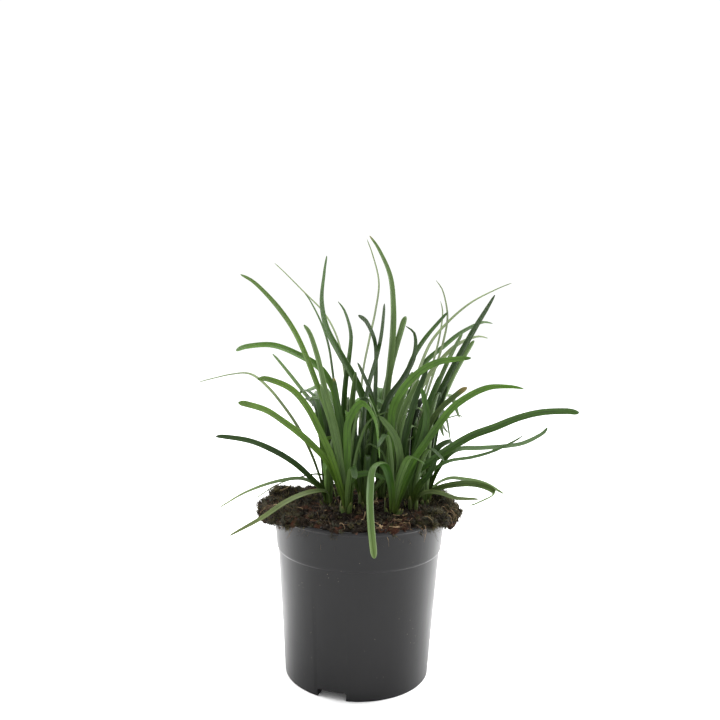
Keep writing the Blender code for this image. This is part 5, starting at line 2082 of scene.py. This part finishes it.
class StageSettings(PropertyGroup):
    lens: FloatProperty(name="Lens", description="Focal length", default=42.15, unit="CAMERA")
    pitch: FloatProperty(
        name="Pitch", description="How far the camera looks down", default=math.radians(6.55), subtype="ANGLE"
    )
    roll: FloatProperty(
        name="Roll", description="Turn about the view", default=math.radians(1.2), subtype="ANGLE",
    )
    room_light: FloatProperty(
        name="Room light", description="Strength of the white room", default=1.06, min=0.0,
    )
    lamp_power: FloatProperty(
        name="Lamp power", description="Power of the top lamp", default=26.0, unit="POWER",
    )


# Operators

class LIRIOPE_OT_pot(Operator):
    """Build the nursery pot with its band, lip, foot channels and drain holes"""
    bl_idname = "liriope.pot"
    bl_label = "Build pot"

    def execute(self, context):
        make_pot(context.scene.liriope_pot)
        return {"FINISHED"}


class LIRIOPE_OT_soil(Operator):
    """Build the rough peat mound and the root ball under it"""
    bl_idname = "liriope.soil"
    bl_label = "Build soil"

    def execute(self, context):
        make_mound(context.scene.liriope_soil)
        return {"FINISHED"}


class LIRIOPE_OT_litter(Operator):
    """Scatter fibres, crumbs, moss, straw and loose roots over the soil"""
    bl_idname = "liriope.litter"
    bl_label = "Scatter litter"

    def execute(self, context):
        make_litter(context.scene.liriope_litter)
        return {"FINISHED"}


class LIRIOPE_OT_leaves(Operator):
    """Grow the leaves of the eleven tufts"""
    bl_idname = "liriope.leaves"
    bl_label = "Grow leaves"

    def execute(self, context):
        make_leaves(context.scene.liriope_leaves)
        return {"FINISHED"}


class LIRIOPE_OT_stage(Operator):
    """Lay the floor and set the lights, the room and the camera"""
    bl_idname = "liriope.stage"
    bl_label = "Set stage"

    def execute(self, context):
        make_stage(context.scene.liriope_stage)
        return {"FINISHED"}


class LIRIOPE_PT_panel(Panel):
    """Lists the steps that dress the potted liriope"""
    bl_idname = "LIRIOPE_PT_panel"
    bl_label = "Potted Liriope"
    bl_space_type = "VIEW_3D"
    bl_region_type = "UI"
    bl_category = "Liriope"

    def draw(self, context):
        for name, operator, group in STEPS:
            column = self.layout.column(align=True)
            column.operator(operator)
            settings = getattr(context.scene, name)
            for key in group.__annotations__:
                column.prop(settings, key)


STEPS = [
    ("liriope_pot", LIRIOPE_OT_pot.bl_idname, PotSettings),
    ("liriope_soil", LIRIOPE_OT_soil.bl_idname, SoilSettings),
    ("liriope_litter", LIRIOPE_OT_litter.bl_idname, LitterSettings),
    ("liriope_leaves", LIRIOPE_OT_leaves.bl_idname, LeafSettings),
    ("liriope_stage", LIRIOPE_OT_stage.bl_idname, StageSettings),
]
CLASSES = [
    LIRIOPE_OT_pot,
    LIRIOPE_OT_soil,
    LIRIOPE_OT_litter,
    LIRIOPE_OT_leaves,
    LIRIOPE_OT_stage,
    LIRIOPE_PT_panel,
]


def register():
    for name, _, group in STEPS:
        bpy.utils.register_class(group)
        setattr(bpy.types.Scene, name, PointerProperty(type=group))
    for kind in CLASSES:
        bpy.utils.register_class(kind)


def unregister():
    for kind in reversed(CLASSES):
        bpy.utils.unregister_class(kind)
    for name, _, group in reversed(STEPS):
        delattr(bpy.types.Scene, name)
        bpy.utils.unregister_class(group)


def main():
    register()
    bpy.ops.liriope.pot()
    bpy.ops.liriope.soil()
    bpy.ops.liriope.litter()
    bpy.ops.liriope.leaves()
    bpy.ops.liriope.stage()


if __name__ == "__main__":
    main()
